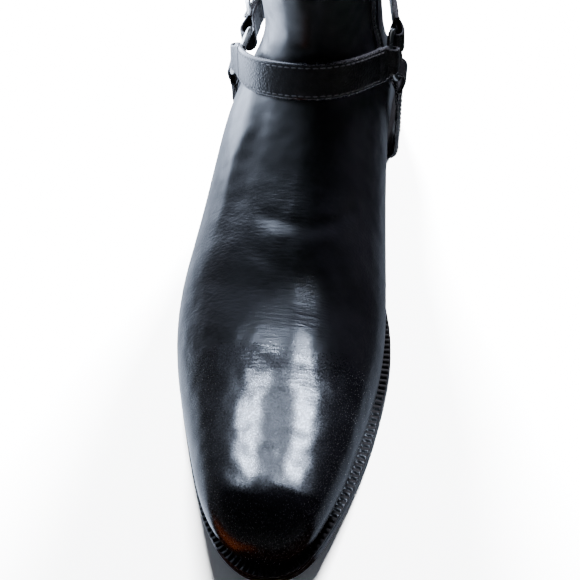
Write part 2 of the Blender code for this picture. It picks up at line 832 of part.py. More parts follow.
def make_buckle(line, from_end, steel):
    """The buckle's frame on the strap, its prong over the frame, both on the strap's outer face."""
    frame = strap_frame(line, from_end)
    half_length = BUCKLE_LENGTH / 2
    half_width = STRAP_WIDTH / 2 + SEAT_GAP + BUCKLE_WIRE
    outline = rectangle(-half_length, -half_width, half_length, half_width)
    hole = rectangle(*(value - math.copysign(BUCKLE_WIRE, value) for value in (*outline[0], *outline[2])))
    low = STRAP_THICKNESS / 2 + SEAT_GAP + BUCKLE_SEAT
    make_frame("buckle_frame", outline, hole, low, low + BUCKLE_WIRE, frame, steel)
    prong_low = low + BUCKLE_WIRE + SEAT_GAP
    half_prong = PRONG_WIDTH / 2
    prong = rectangle(-half_length, -half_prong, half_length + BUCKLE_WIRE / 2, half_prong)
    make_prism("buckle_prong", prong, prong_low, prong_low + PRONG_WIDTH, frame, steel)


def make_keeper(line, from_end, material):
    """The leather loop that holds the strap's tip down."""
    origin, run, side, out = strap_frame(line, from_end)
    half_width = STRAP_WIDTH / 2 + SEAT_GAP
    half_height = STRAP_THICKNESS / 2 + SEAT_GAP
    skin = KEEPER_SKIN
    hole = rectangle(-half_width, -half_height, half_width, half_height)
    outline = rectangle(-half_width - skin, -half_height - skin, half_width + skin, half_height + skin)
    frame = (origin, side, out, run)
    make_frame("keeper_loop", outline, hole, -KEEPER_LENGTH / 2, KEEPER_LENGTH / 2, frame, material)


def make_zip_strip(name, lining, width, low, high, outer, inner, material, rows=20, columns=2):
    """A strip that follows the lining's face up the zip's line, between two distances out from that face."""
    points = []
    for distance in (outer, inner):
        for row in range(rows + 1):
            z = low + (high - low) * row / rows
            for column in range(columns + 1):
                y = -ZIP_ALONG + width * (column / columns - 0.5)
                points.append((lining.reach((0, y, z), (1, 0, 0)) + distance, y, z))
    layer = (rows + 1) * (columns + 1)
    faces = []
    for start in (0, layer):
        for row in range(rows):
            for column in range(columns):
                here = start + row * (columns + 1) + column
                faces.append([here, here + 1, here + columns + 2, here + columns + 1])
    for row in range(rows):
        for column in (0, columns):
            here = row * (columns + 1) + column
            faces.append([here, here + columns + 1, layer + here + columns + 1, layer + here])
    for row in (0, rows):
        for column in range(columns):
            here = row * (columns + 1) + column
            faces.append([here, here + 1, layer + here + 1, layer + here])
    return add_object(name, points, faces, material)


def cut_zip_slot(upper, material):
    """Cuts the zip's slot down the medial side from the collar, with a round foot."""
    half = ZIP_SLOT / 2
    outline = [(half, COLLAR_HEIGHT + half), (-half, COLLAR_HEIGHT + half)]
    for step in range(9):
        angle = math.pi * step / 8
        outline.append((-half * math.cos(angle), ZIP_FOOT + half - half * math.sin(angle)))
    frame = (Vector((0, -ZIP_ALONG, 0)), Vector((0, 1, 0)), Vector((0, 0, 1)), Vector((1, 0, 0)))
    cutter = make_prism("zip_slot", outline, ANKLE_WIDTH / 6, ANKLE_WIDTH, frame, material)
    combine(upper, [cutter], "DIFFERENCE")


def make_zip(lining, tape, steel):
    """Tape behind the slot, the chain of teeth, the slider at its top and the tab that hangs from it."""
    slider_top = COLLAR_HEIGHT - COLLAR_DIP - SLIDER_DROP
    slider_low = slider_top - SLIDER_LENGTH
    tape_low = ZIP_FOOT - TAPE_TUCK
    tape_top = COLLAR_HEIGHT - COLLAR_DIP - TAPE_DROP
    tape_face = -ZIP_CLEARANCE
    tape_back = tape_face - ZIP_TAPE_THICKNESS
    make_zip_strip(
        "zip_tape", lining, ZIP_TAPE_WIDTH, tape_low, tape_top, tape_face, tape_back, tape, columns=4
    )
    chain_low = ZIP_FOOT + ZIP_SLOT / 2
    chain_face = ZIP_CHAIN_THICKNESS
    make_zip_strip(
        "zip_teeth", lining, ZIP_CHAIN_WIDTH, chain_low, slider_low - SEAT_GAP, chain_face, 0.0, steel
    )
    seats = []
    for step in range(5):
        z = slider_low + SLIDER_LENGTH * step / 4
        for across in (-0.5, 0, 0.5):
            seats.append(lining.reach((0, -ZIP_ALONG + SLIDER_WIDTH * across, z), (1, 0, 0)))
    seat = max(seats)
    middle = Vector((seat, -ZIP_ALONG, (slider_low + slider_top) / 2))
    half_width, half_length = SLIDER_WIDTH / 2, SLIDER_LENGTH / 2
    slider = add_box(
        "zip_slider",
        middle + Vector((0, -half_width, -half_length)),
        middle + Vector((SLIDER_THICKNESS, half_width, half_length)),
        steel,
    )
    face = middle + Vector((SLIDER_THICKNESS, 0, 0))
    axes = (Vector((1, 0, 0)), Vector((0, 0, 1)), Vector((0, 1, 0)))
    half_bridge = BRIDGE_WIDTH / 2
    reach = BRIDGE_OPENING / 2
    outline = rectangle(-BRIDGE_WIRE, -reach - BRIDGE_WIRE, BRIDGE_RISE + BRIDGE_WIRE, reach + BRIDGE_WIRE)
    hole = rectangle(0, -reach, BRIDGE_RISE, reach)
    bridge = make_frame("bridge", outline, hole, -half_bridge, half_bridge, (face, *axes), steel)
    combine(slider, [bridge], "UNION")
    make_pull_tab(face + Vector((BRIDGE_RISE / 2, 0, 0)), steel)


def make_pull_tab(axis, steel):
    """The tab, which hangs by its eye from the slider's bridge. Its object stands on the hinge's axis."""
    half = TAB_THICKNESS / 2
    eye = BRIDGE_WIDTH / 2 + TAB_CLEARANCE
    neck = eye + TAB_THICKNESS
    eye_low = -(math.hypot(BRIDGE_RISE / 2 + BRIDGE_WIRE, BRIDGE_OPENING / 2 + BRIDGE_WIRE) + TAB_CLEARANCE)
    wide = TAB_WIDTH / 2
    shoulder = eye_low - TAB_THICKNESS
    end = -TAB_LENGTH
    corner = wide * TAB_CORNER
    right = [(neck, half), (neck, eye_low), (wide, shoulder), (wide, end + corner), (wide - corner, end)]
    outline = right + [(-y, z) for y, z in reversed(right)]
    right = [(eye, -half)] + [(eye, eye_low * quarter / 4) for quarter in (2, 3, 4)] + [(half, eye_low)]
    hole = right + [(-y, z) for y, z in reversed(right)]
    frame = (Vector((0, 0, 0)), Vector((0, 1, 0)), Vector((0, 0, 1)), Vector((1, 0, 0)))
    tab = make_frame("zip_pull_tab", outline, hole, -half, half, frame, steel)
    tab.location = axis


def clear_scene():
    for obj in list(bpy.data.objects):
        bpy.data.objects.remove(obj)


def rear_lift(share):
    """The rear strap's extra clearance: none behind the heel, full on its lateral, buckled side."""
    return REAR_STANDOFF * float(eased(share, 0.55, 0.80))


def stand_on_origin():
    """Moves the whole boot so that the middle of its box is over the origin."""
    bpy.context.view_layer.update()
    corners = []
    for obj in bpy.data.objects:
        corners += [obj.matrix_world @ Vector(corner) for corner in obj.bound_box]
    low = [min(corner[k] for corner in corners) for k in range(3)]
    high = [max(corner[k] for corner in corners) for k in range(3)]
    shift = Vector(((low[0] + high[0]) / 2, (low[1] + high[1]) / 2, low[2]))
    for obj in bpy.data.objects:
        obj.location -= shift


def build_boot():
    clear_scene()
    calf = make_material("calf_leather", (0.012, 0.012, 0.015), 0.28)
    strap_leather = make_material("strap_leather", (0.015, 0.015, 0.018), 0.45)
    insole_leather = make_material("insole_leather", (0.30, 0.19, 0.11), 0.7)
    sole_leather = make_material("sole_leather", (0.06, 0.05, 0.045), 0.5)
    rubber = make_material("rubber", (0.02, 0.02, 0.02), 0.8)
    steel = make_material("plated_steel", (0.6, 0.6, 0.6), 0.2, 1.0)
    tape = make_material("zip_tape", (0.09, 0.03, 0.02), 0.85)

    columns = section_angles(LOW_STEPS, HIGH_STEPS)
    outer = upper_skin(0.0, columns)
    inner = upper_skin(WALL, columns)
    faces = make_upper_faces(len(outer), len(columns))
    points = np.concatenate([outer.reshape(-1, 3), inner.reshape(-1, 3)])
    upper = add_object("upper", points, faces, calf)

    make_plate(
        "insole",
        lambda turn: extension(turn) + WALL + INSOLE_CLEARANCE,
        feather_height,
        lambda y: feather_height(y) + INSOLE_THICKNESS,
        insole_leather,
    )
    make_welt(sole_leather)
    make_plate("outsole", lambda turn: 0.0, tread_height, outsole_top, sole_leather)

    stack = HEEL_HEIGHT - TOP_PIECE_THICKNESS
    for layer in range(HEEL_LIFTS):
        low = TOP_PIECE_THICKNESS + stack * layer / HEEL_LIFTS
        high = TOP_PIECE_THICKNESS + stack * (layer + 1) / HEEL_LIFTS - SEAT_GAP
        make_heel_layer(f"heel_lift_{layer + 1}", low, high, sole_leather)
    make_heel_layer("heel_top_piece", 0.0, TOP_PIECE_THICKNESS - SEAT_GAP, rubber)

    face, lining = Skin(outer), Skin(inner)
    rings = [Ring(face, 1), Ring(face, -1)]
    make_ring("ring_medial", rings[0], steel)
    make_ring("ring_lateral", rings[1], steel)
    front = unit((0, -FRONT_STRAP_REACH, FRONT_STRAP_RISE))
    front_line = strap_line(rings, front, skin_obstacles(face, front), lambda share: 0.0)
    make_harness_strap("strap_front", front_line, rings, front, strap_leather)
    rear = unit((0, REAR_STRAP_REACH, REAR_STRAP_RISE))
    rear_line = strap_line(rings, rear, skin_obstacles(face, rear), rear_lift)
    make_harness_strap("strap_rear", rear_line, rings, rear, strap_leather)
    down = Vector((0, (RING_ALONG - UNDER_STRAP_ALONG), -RING_HEIGHT)).normalized()
    under_line = strap_line(rings, down, under_obstacles(face), lambda share: 0.0)
    make_harness_strap("strap_under", under_line, rings, down, strap_leather)
    make_buckle(rear_line, BUCKLE_FROM_RING, steel)
    make_keeper(rear_line, KEEPER_FROM_RING, strap_leather)
    cut_zip_slot(upper, calf)
    make_zip(lining, tape, steel)
    stand_on_origin()


if __name__ == "__main__":
    build_boot()
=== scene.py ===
"""Looks of the harness ankle boot: upper, sole, harness and zip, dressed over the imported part.

The shapes are built in the maker's frame, in metres: the heel's back is y = 0, the toe points along -Y,
the inner (medial) side of the foot along +X and z = 0 is the floor. One shift then brings them over the
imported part.
"""

import json
import logging
import math
from collections.abc import Callable, Iterable, Sequence
from dataclasses import dataclass, field
from enum import Enum

import bmesh
import bpy
import numpy as np
from mathutils import Matrix, Vector
from mathutils.bvhtree import BVHTree

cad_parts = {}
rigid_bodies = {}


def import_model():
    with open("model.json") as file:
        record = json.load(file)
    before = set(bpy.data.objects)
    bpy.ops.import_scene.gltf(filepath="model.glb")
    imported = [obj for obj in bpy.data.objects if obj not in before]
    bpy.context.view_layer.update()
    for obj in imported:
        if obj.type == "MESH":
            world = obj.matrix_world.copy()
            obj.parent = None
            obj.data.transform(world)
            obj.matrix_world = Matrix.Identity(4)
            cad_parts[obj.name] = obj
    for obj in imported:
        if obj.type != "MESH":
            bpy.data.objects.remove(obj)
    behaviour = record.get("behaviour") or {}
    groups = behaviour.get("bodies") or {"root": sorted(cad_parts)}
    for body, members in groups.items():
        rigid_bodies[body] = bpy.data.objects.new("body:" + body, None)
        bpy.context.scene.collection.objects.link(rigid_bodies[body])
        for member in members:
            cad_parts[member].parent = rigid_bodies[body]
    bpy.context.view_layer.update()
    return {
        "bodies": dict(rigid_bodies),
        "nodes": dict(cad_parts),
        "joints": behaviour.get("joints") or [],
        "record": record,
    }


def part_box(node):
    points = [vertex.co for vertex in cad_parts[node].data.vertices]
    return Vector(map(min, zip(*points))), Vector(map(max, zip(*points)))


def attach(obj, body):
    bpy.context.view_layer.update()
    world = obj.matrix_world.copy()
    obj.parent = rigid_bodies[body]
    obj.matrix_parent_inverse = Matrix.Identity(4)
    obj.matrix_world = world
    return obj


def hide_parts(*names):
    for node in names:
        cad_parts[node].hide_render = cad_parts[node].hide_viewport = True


log = logging.getLogger("boot")

Numbers = float | np.ndarray
Triple = tuple[float, float, float]
Socket = bpy.types.NodeSocket
Flat = tuple[float, float]
Axes = tuple[Vector, Vector, Vector, Vector]

MM = 0.001

# Sole and last, in metres
SOLE_LENGTH = 0.314
BALL_WIDTH = 0.1015
WELT_EXTENSION = 0.0046
HEEL_EXTENSION = 0.0028
TOE_SPRING = 0.011
HEEL_HEIGHT = 0.024
OUTSOLE_THICKNESS = 0.005
WELT_THICKNESS = 0.003
SEAT_GAP = 0.0003
WAIST_START = 0.24
TREAD_START = 0.56
SPRING_START = 0.70
SPRING_CURVE = 1.8
EXTENSION_GROWS = (0.30, 0.60)

# Upper
INSTEP_RISE = 0.078
COLLAR_HEIGHT = 0.171
COLLAR_DIP = 0.003
ANKLE_WIDTH = 0.060
WALL = 0.002

# The heel's roundness under the widest place, over an ellipse's 2, and the rows where it comes and goes
HEEL_FULLNESS = 0.9
FULL_FROM = (11, 16)
FULL_UNTIL = (18, 23)

# Insole and heel
INSOLE_THICKNESS = 0.0025
INSOLE_CLEARANCE = 0.0016
HEEL_LENGTH = 0.070
HEEL_LIFTS = 4
TOP_PIECE_THICKNESS = 0.006
HEEL_INSET = 0.0006
HEEL_TAPER = 0.0025
BREAST_HOLLOW = 0.005

# Straps and rings
STRAP_WIDTH = 0.016
STRAP_THICKNESS = 0.0026
STRAP_FREE_END = 0.006
STRAP_CLEARANCE = 0.0006
RING_RADIUS = 0.011
RING_WIRE = 0.0015
RING_STANDOFF = 0.0050
RING_ALONG = 0.080
RING_HEIGHT = 0.084
LOOP_BORE = 0.0028
LOOP_SKIN = 0.0014
FRONT_STRAP_RISE = 0.023
FRONT_STRAP_REACH = 0.042
REAR_STRAP_RISE = 0.004
REAR_STRAP_REACH = 0.070
REAR_STANDOFF = 0.0045
UNDER_STRAP_ALONG = 0.081

# Zip
ZIP_SLOT = 0.0085
ZIP_ALONG = 0.080
ZIP_FOOT = 0.066
ZIP_TAPE_WIDTH = 0.024
ZIP_CLEARANCE = 0.0004
ZIP_TAPE_THICKNESS = 0.0008
TAPE_TUCK = 0.006
TAPE_DROP = 0.002
SLIDER_DROP = 0.010
SLIDER_LENGTH = 0.010


class Side(Enum):
    """The two sides of the foot, as the sign of x."""

    MEDIAL = 1
    LATERAL = -1


@dataclass(frozen=True)
class Reach:
    """A row of the sole's outline: along is a share of its length, reaches are shares of the ball's width."""

    along: float
    medial: float
    lateral: float


@dataclass(frozen=True)
class Section:
    """A section of the upper: its ridge point, foot point and widest place, as shares of named sizes."""

    ridge: float
    up: float
    foot: float
    foot_up: float
    medial: float
    lateral: float
    low: float
    round: float


OUTLINE = (
    Reach(0.000, 0.000, 0.000),
    Reach(0.045, 0.272, 0.272),
    Reach(0.100, 0.335, 0.335),
    Reach(0.170, 0.348, 0.352),
    Reach(0.250, 0.325, 0.375),
    Reach(0.330, 0.294, 0.410),
    Reach(0.410, 0.290, 0.455),
    Reach(0.490, 0.325, 0.505),
    Reach(0.570, 0.388, 0.552),
    Reach(0.640, 0.419, 0.576),
    Reach(0.700, 0.412, 0.556),
    Reach(0.760, 0.389, 0.500),
    Reach(0.820, 0.354, 0.432),
    Reach(0.880, 0.300, 0.359),
    Reach(0.935, 0.234, 0.276),
    Reach(0.975, 0.162, 0.176),
    Reach(1.000, 0.000, 0.000),
)

# The foot's sections from the toe tip to the heel: foot is the place of the feather line along the sole
FOOT = (
    Section(0.985, 0.000, 1.000, 0, 0.000, 0.000, 0.30, 2.2),
    Section(0.983, 0.085, 0.996, 0, 0.066, 0.068, 0.30, 2.2),
    Section(0.977, 0.160, 0.985, 0, 0.120, 0.135, 0.30, 2.2),
    Section(0.964, 0.235, 0.966, 0, 0.168, 0.197, 0.30, 2.2),
    Section(0.942, 0.310, 0.938, 0, 0.214, 0.256, 0.30, 2.2),
    Section(0.906, 0.395, 0.898, 0, 0.259, 0.317, 0.29, 2.2),
    Section(0.850, 0.485, 0.844, 0, 0.308, 0.385, 0.28, 2.15),
    Section(0.776, 0.590, 0.776, 0, 0.352, 0.466, 0.27, 2.1),
    Section(0.692, 0.700, 0.698, 0, 0.387, 0.533, 0.27, 2.05),
    Section(0.606, 0.826, 0.612, 0, 0.390, 0.556, 0.28, 2.0),
    Section(0.520, 0.940, 0.512, 0, 0.366, 0.533, 0.30, 1.95),
    Section(0.452, 1.020, 0.398, 0, 0.340, 0.492, 0.32, 1.9),
    Section(0.410, 1.080, 0.270, 0, 0.321, 0.448, 0.34, 1.9),
    Section(0.388, 1.150, 0.152, 0, 0.311, 0.398, 0.36, 1.9),
    Section(0.378, 1.232, 0.062, 0, 0.304, 0.346, 0.38, 1.95),
    Section(0.374, 1.318, 0.015, 0, 0.292, 0.308, 0.41, 2.0),
    Section(0.3725, 1.404, 0.000, 0, 0.278, 0.286, 0.44, 2.05),
)

# The shaft's rings from the heel seat to the collar: foot and foot_up are the heel's back, reaches are shares
# of the ankle's width, up is the share of the way from the last foot section to the collar
SHAFT = (
    Section(0.3728, 0.17, 0.003, 0.115, 0.460, 0.474, 0.46, 2.1),
    Section(0.375, 0.33, 0.005, 0.240, 0.458, 0.470, 0.48, 2.1),
    Section(0.377, 0.49, 0.015, 0.375, 0.460, 0.470, 0.50, 2.1),
    Section(0.3795, 0.63, 0.029, 0.515, 0.468, 0.474, 0.50, 2.1),
    Section(0.382, 0.76, 0.035, 0.660, 0.480, 0.482, 0.50, 2.1),
    Section(0.384, 0.88, 0.030, 0.820, 0.492, 0.492, 0.50, 2.1),
    Section(0.386, 1.00, 0.020, 1.000, 0.505, 0.505, 0.50, 2.1),
)
HEEL_ROW = len(FOOT) - 1
LAST_ROW = len(FOOT) + len(SHAFT) - 1

# Rows for each section, low steps and high steps of the plain skin that straps, rings and zip are laid on
GUIDE_STEPS = (6, 6, 24)
# Steps along the outline when its widest place is looked for
WIDEST_STEPS = 2001


def smooth_curve(knots: Sequence[float], values: Sequence) -> Callable:
    """A natural cubic spline through rows of values.

    Args:
        knots: rising places of the rows.
        values: a number or a tuple of numbers for each place.

    Returns:
        A function of a place, or of an array of places.
    """
    knots = np.asarray(knots, float)
    values = np.asarray(values, float)
    step = np.diff(knots)
    matrix = np.eye(len(knots))
    right = np.zeros_like(values)
    for i in range(1, len(knots) - 1):
        matrix[i, i - 1 : i + 2] = (step[i - 1], 2 * (step[i - 1] + step[i]), step[i])
        rise = (values[i + 1] - values[i]) / step[i]
        fall = (values[i] - values[i - 1]) / step[i - 1]
        right[i] = 6 * (rise - fall)
    bend = np.linalg.solve(matrix, right)

    def at(place: Numbers) -> np.ndarray:
        """The spline at a place.

        Args:
            place: a number or an array.

        Returns:
            The values there.
        """
        place = np.clip(np.asarray(place, float), knots[0], knots[-1])
        i = np.clip(np.searchsorted(knots, place, "right") - 1, 0, len(step) - 1)
        width = step[i]
        a = (knots[i + 1] - place) / width
        b = (place - knots[i]) / width
        if values.ndim > 1:
            a, b, width = a[..., None], b[..., None], width[..., None]
        curve = ((a**3 - a) * bend[i] + (b**3 - b) * bend[i + 1]) * width**2 / 6
        return a * values[i] + b * values[i + 1] + curve

    return at


def eased(value: Numbers, start: float, end: float) -> Numbers:
    """0 before start, 1 after end and a smooth step between.

    Args:
        value: a number or an array.
        start: where the step begins.
        end: where it ends.

    Returns:
        The share, as an array of the value's shape.
    """
    share = np.clip((np.asarray(value, float) - start) / (end - start), 0, 1)
    return share * share * (3 - 2 * share)


def turn_of(along: Numbers) -> Numbers:
    """The angle share that spaces points round heel and toe.

    Args:
        along: share of the sole's length.

    Returns:
        0 at the heel's back to 1 at the toe's tip.
    """
    return np.arccos(1 - 2 * np.clip(along, 0, 1)) / np.pi


class Last:
    """The shape that the boot is built on: the sole's outline, the bottom line and the upper's sections."""

    def __init__(self) -> None:
        """Draws smooth curves through the tables."""
        reaches = [(row.medial, row.lateral) for row in OUTLINE]
        self.reach_at = smooth_curve([turn_of(row.along) for row in OUTLINE], reaches)
        ridge = []
        for row in FOOT:
            y = -row.ridge * SOLE_LENGTH
            ridge.append((y, float(self.feather_height(y)) + row.up * INSTEP_RISE))
        start = ridge[-1][1]
        ridge += [(-row.ridge * SOLE_LENGTH, start + row.up * (COLLAR_HEIGHT - start)) for row in SHAFT]
        widest = [(r.medial * BALL_WIDTH, r.lateral * BALL_WIDTH, r.low, r.round) for r in FOOT]
        widest += [(r.medial * ANKLE_WIDTH, r.lateral * ANKLE_WIDTH, r.low, r.round) for r in SHAFT]
        seat = float(self.feather_height(0))
        rise = COLLAR_HEIGHT - COLLAR_DIP - seat
        back = [(-HEEL_EXTENSION, seat)] + [(-r.foot * SOLE_LENGTH, seat + r.foot_up * rise) for r in SHAFT]
        self.ridge_at = smooth_curve(range(LAST_ROW + 1), ridge)
        self.widest_at = smooth_curve(range(LAST_ROW + 1), widest)
        self.feather_at = smooth_curve(range(HEEL_ROW + 1), [turn_of(r.foot) for r in FOOT])
        self.back_at = smooth_curve(range(HEEL_ROW, LAST_ROW + 1), back)

    def edge(self, turn: Numbers, side: Side) -> np.ndarray:
        """(x, y) of the sole's edge.

        Args:
            turn: 0 at the heel to 1 at the toe.
            side: which side of the sole.

        Returns:
            An array whose last axis is (x, y).
        """
        along = (1 - np.cos(np.pi * turn)) / 2
        reach = self.reach_at(turn)[..., 0 if side is Side.MEDIAL else 1]
        return np.stack([side.value * reach * BALL_WIDTH, -along * SOLE_LENGTH], axis=-1)

    def inward(self, turn: Numbers, side: Side) -> np.ndarray:
        """The unit direction that points in from the sole's edge.

        Args:
            turn: 0 at the heel to 1 at the toe.
            side: which side of the sole.

        Returns:
            An array whose last axis is (x, y).
        """
        nudge = 0.001
        run = self.edge(np.clip(turn + nudge, 0, 1), side) - self.edge(np.clip(turn - nudge, 0, 1), side)
        inward = np.stack([side.value * run[..., 1], -side.value * run[..., 0]], axis=-1)
        return inward / np.linalg.norm(inward, axis=-1, keepdims=True)

    def inset(self, turn: Numbers, side: Side, inset: Numbers) -> np.ndarray:
        """(x, y) of the sole's edge moved in.

        Args:
            turn: 0 at the heel to 1 at the toe.
            side: which side of the sole.
            inset: how far in, in metres.

        Returns:
            An array whose last axis is (x, y).
        """
        turn = np.asarray(turn, float)
        return self.edge(turn, side) + self.inward(turn, side) * np.asarray(inset)[..., None]

    @staticmethod
    def extension(turn: Numbers) -> Numbers:
        """How far the welt stands out past the upper.

        Args:
            turn: 0 at the heel to 1 at the toe.

        Returns:
            The distance in metres.
        """
        along = (1 - np.cos(np.pi * np.asarray(turn, float))) / 2
        return HEEL_EXTENSION + (WELT_EXTENSION - HEEL_EXTENSION) * eased(along, *EXTENSION_GROWS)

    @staticmethod
    def tread_height(y: Numbers) -> Numbers:
        """Height of the outsole's underside.

        Args:
            y: place along the boot.

        Returns:
            The height in metres.
        """
        along = -np.asarray(y, float) / SOLE_LENGTH
        heel = 1 - eased(along, WAIST_START, TREAD_START)
        spring = np.clip((along - SPRING_START) / (1 - SPRING_START), 0, None) ** SPRING_CURVE
        return HEEL_HEIGHT * heel + TOE_SPRING * spring

    def outsole_top(self, y: Numbers) -> Numbers:
        """Height of the outsole's upper face at a place along the boot."""
        return self.tread_height(y) + OUTSOLE_THICKNESS

    def welt_top(self, y: Numbers) -> Numbers:
        """Height of the welt's upper face at a place along the boot."""
        return self.outsole_top(y) + SEAT_GAP + WELT_THICKNESS

    def feather_height(self, y: Numbers) -> Numbers:
        """Height of the upper's lower edge at a place along the boot."""
        return self.welt_top(y) + SEAT_GAP

    @staticmethod
    def curve_inward(curve: Callable, place: float, first: float, last: float) -> np.ndarray:
        """The unit direction to the inner side of the ridge or the heel's back.

        Args:
            curve: (y, z) at a place.
            place: counted in rows of the tables.
            first: the curve's first place.
            last: its last one.

        Returns:
            (y, z).
        """
        nudge = 0.01
        run = curve(np.clip(place + nudge, first, last)) - curve(np.clip(place - nudge, first, last))
        return np.array([run[1], -run[0]]) / np.linalg.norm(run)

    def section(self, place: float, depth: float, low_steps: int, high_steps: int) -> np.ndarray:
        """Points of one section of the upper, from the medial feather line over the ridge to the lateral one.

        Args:
            place: counted in rows of the tables, 0 at the toe's tip.
            depth: how far under the outer face.
            low_steps: points under the widest place, on each side.
            high_steps: points over it, on each side.

        Returns:
            An array of points.
        """
        ridge = self.ridge_at(place) + self.curve_inward(self.ridge_at, place, 0, LAST_ROW) * depth
        medial, lateral, low, roundness = self.widest_at(place)
        ends, across = {}, 1.0
        if place < HEEL_ROW:
            turn = self.feather_at(place)
            for side in Side:
                x, y = self.inset(turn, side, self.extension(turn) + depth)
                ends[side] = (float(x), float(y), float(self.feather_height(y)))
            if place < HEEL_ROW / 2:
                across = float(self.inward(turn, Side.MEDIAL)[0] ** 2)
        else:
            back = self.back_at(place) - self.curve_inward(self.back_at, place, HEEL_ROW, LAST_ROW) * depth
            ends = {side: (0.0, float(back[0]), float(back[1])) for side in Side}
        fullness = 2 + HEEL_FULLNESS * float(eased(place, *FULL_FROM) * (1 - eased(place, *FULL_UNTIL)))
        under = np.linspace(0, math.pi / 2, low_steps, endpoint=False)
        over = np.linspace(0, math.pi / 2, high_steps + 1)
        sides = {}
        for side, wide in ((Side.MEDIAL, medial), (Side.LATERAL, lateral)):
            x, y, z = ends[side]
            wide = max(wide - depth * across, side.value * x)
            foot = side.value * x
            low_xs = foot + (wide - foot) * np.sin(under) ** (2 / fullness)
            high_xs = wide * np.cos(over).clip(0) ** (2 / roundness)
            low_up = low * (1 - np.cos(under) ** (2 / fullness))
            high_up = low + (1 - low) * np.sin(over) ** (2 / roundness)
            xs, up = np.concatenate([low_xs, high_xs]), np.concatenate([low_up, high_up])
            ys, zs = y + up * (ridge[0] - y), z + up * (ridge[1] - z)
            sides[side] = np.stack([side.value * xs, ys, zs], axis=-1)
        return np.concatenate([sides[Side.MEDIAL], sides[Side.LATERAL][-2::-1]])

    def skin(self, depth: float, rows_per_section: int, low_steps: int, high_steps: int) -> np.ndarray:
        """The upper's face at a depth.

        Args:
            depth: how far under the outer face.
            rows_per_section: rows for each row of the tables.
            low_steps: points under the widest place, on each side.
            high_steps: points over it, on each side.

        Returns:
            An array of rows of points, closed to one point at the toe's tip.
        """
        places = np.linspace(0, LAST_ROW, LAST_ROW * rows_per_section + 1)
        skin = np.array([self.section(float(place), depth, low_steps, high_steps) for place in places])
        tip_y = -SOLE_LENGTH + float(self.extension(1.0)) + depth
        skin[0] = (0.0, tip_y, float(self.feather_height(tip_y)))
        return skin


def linear(hex_colour: str) -> tuple[float, float, float, float]:
    """An sRGB colour as linear light.

    Args:
        hex_colour: six hex digits.

    Returns:
        Linear red, green, blue and an alpha of 1.
    """
    values = [int(hex_colour[i : i + 2], 16) / 255 for i in (0, 2, 4)]
    return (*(v / 12.92 if v <= 0.04045 else ((v + 0.055) / 1.055) ** 2.4 for v in values), 1.0)


@dataclass(frozen=True)
class Pattern:
    """A pattern at its real size: soft noise, or cells where a cell feature is named."""

    size_mm: float
    detail: float = 2.0
    stretch: Triple = (1.0, 1.0, 1.0)
    cells: str = ""


class Nodes:
    """A node tree under construction."""

    def __init__(self, tree: bpy.types.NodeTree) -> None:
        """Takes the tree."""
        self.tree = tree

    def fill(self, node: bpy.types.Node, settings: dict) -> None:
        """Sets a node's attributes and inputs, or links the inputs.

        Args:
            node: the node.
            settings: values or output sockets by name, with _ for a space and inN for input number N.
        """
        for key, value in settings.items():
            if hasattr(node, key):
                setattr(node, key, value)
                continue
            socket = node.inputs[int(key[2:]) if key.startswith("in") else key.replace("_", " ")]
            if isinstance(value, Socket):
                self.tree.links.new(value, socket)
            else:
                socket.default_value = value

    def add(self, kind: str, output: str | int = 0, **settings) -> Socket:
        """Adds a node with its settings and links.

        Args:
            kind: Blender's name of the node type, without ShaderNode.
            output: name or number of the output that is wanted.
            settings: as in fill.

        Returns:
            The output.
        """
        node = self.tree.nodes.new("ShaderNode" + kind)
        self.fill(node, settings)
        return node.outputs[output]


class Shader(Nodes):
    """A material under construction, with its Principled shader and object coordinates in millimetres."""

    def __init__(self, name: str) -> None:
        """Starts the material.

        Args:
            name: the material's name.
        """
        self.material = bpy.data.materials.new(name)
        self.material.use_nodes = True
        super().__init__(self.material.node_tree)
        place = self.add("TexCoord", "Object")
        self.place = self.add("VectorMath", operation="SCALE", Vector=place, Scale=1 / MM)

    def set(self, **values) -> None:
        """Sets or links inputs of the Principled shader, named with _ for a space."""
        self.fill(self.tree.nodes["Principled BSDF"], values)

    def pattern(self, spec: Pattern) -> Socket:
        """Draws a pattern.

        Args:
            spec: its kind and size.

        Returns:
            Its height.
        """
        scale = 1 / spec.size_mm
        if spec.cells:
            return self.add("TexVoronoi", "Distance", feature=spec.cells, Scale=scale, Vector=self.place)
        place = self.add("VectorMath", operation="DIVIDE", in0=self.place, in1=spec.stretch)
        return self.add("TexNoise", "Fac", Scale=scale, Detail=spec.detail, Vector=place)

    def uneven(self, height: Socket, low: float, high: float) -> Socket:
        """A value between two, as a noise's height varies over its usual range."""
        return self.add("MapRange", Value=height, From_Min=0.3, From_Max=0.7, To_Min=low, To_Max=high)

    def clouds(self, share: Socket, dark: str, light: str) -> Socket:
        """A colour between two hex colours by a share."""
        return self.add("Mix", 2, data_type="RGBA", Factor=share, in6=linear(dark), in7=linear(light))

    def relief(self, *layers: tuple[Socket, float]) -> Socket:
        """Reliefs laid over one another.

        Args:
            layers: each one's height and its real depth in millimetres.

        Returns:
            The normal.
        """
        under = {}
        for height, depth_mm in layers:
            under = {"Normal": self.add("Bump", Height=height, Distance=depth_mm * MM, Strength=1.0, **under)}
        return under["Normal"]


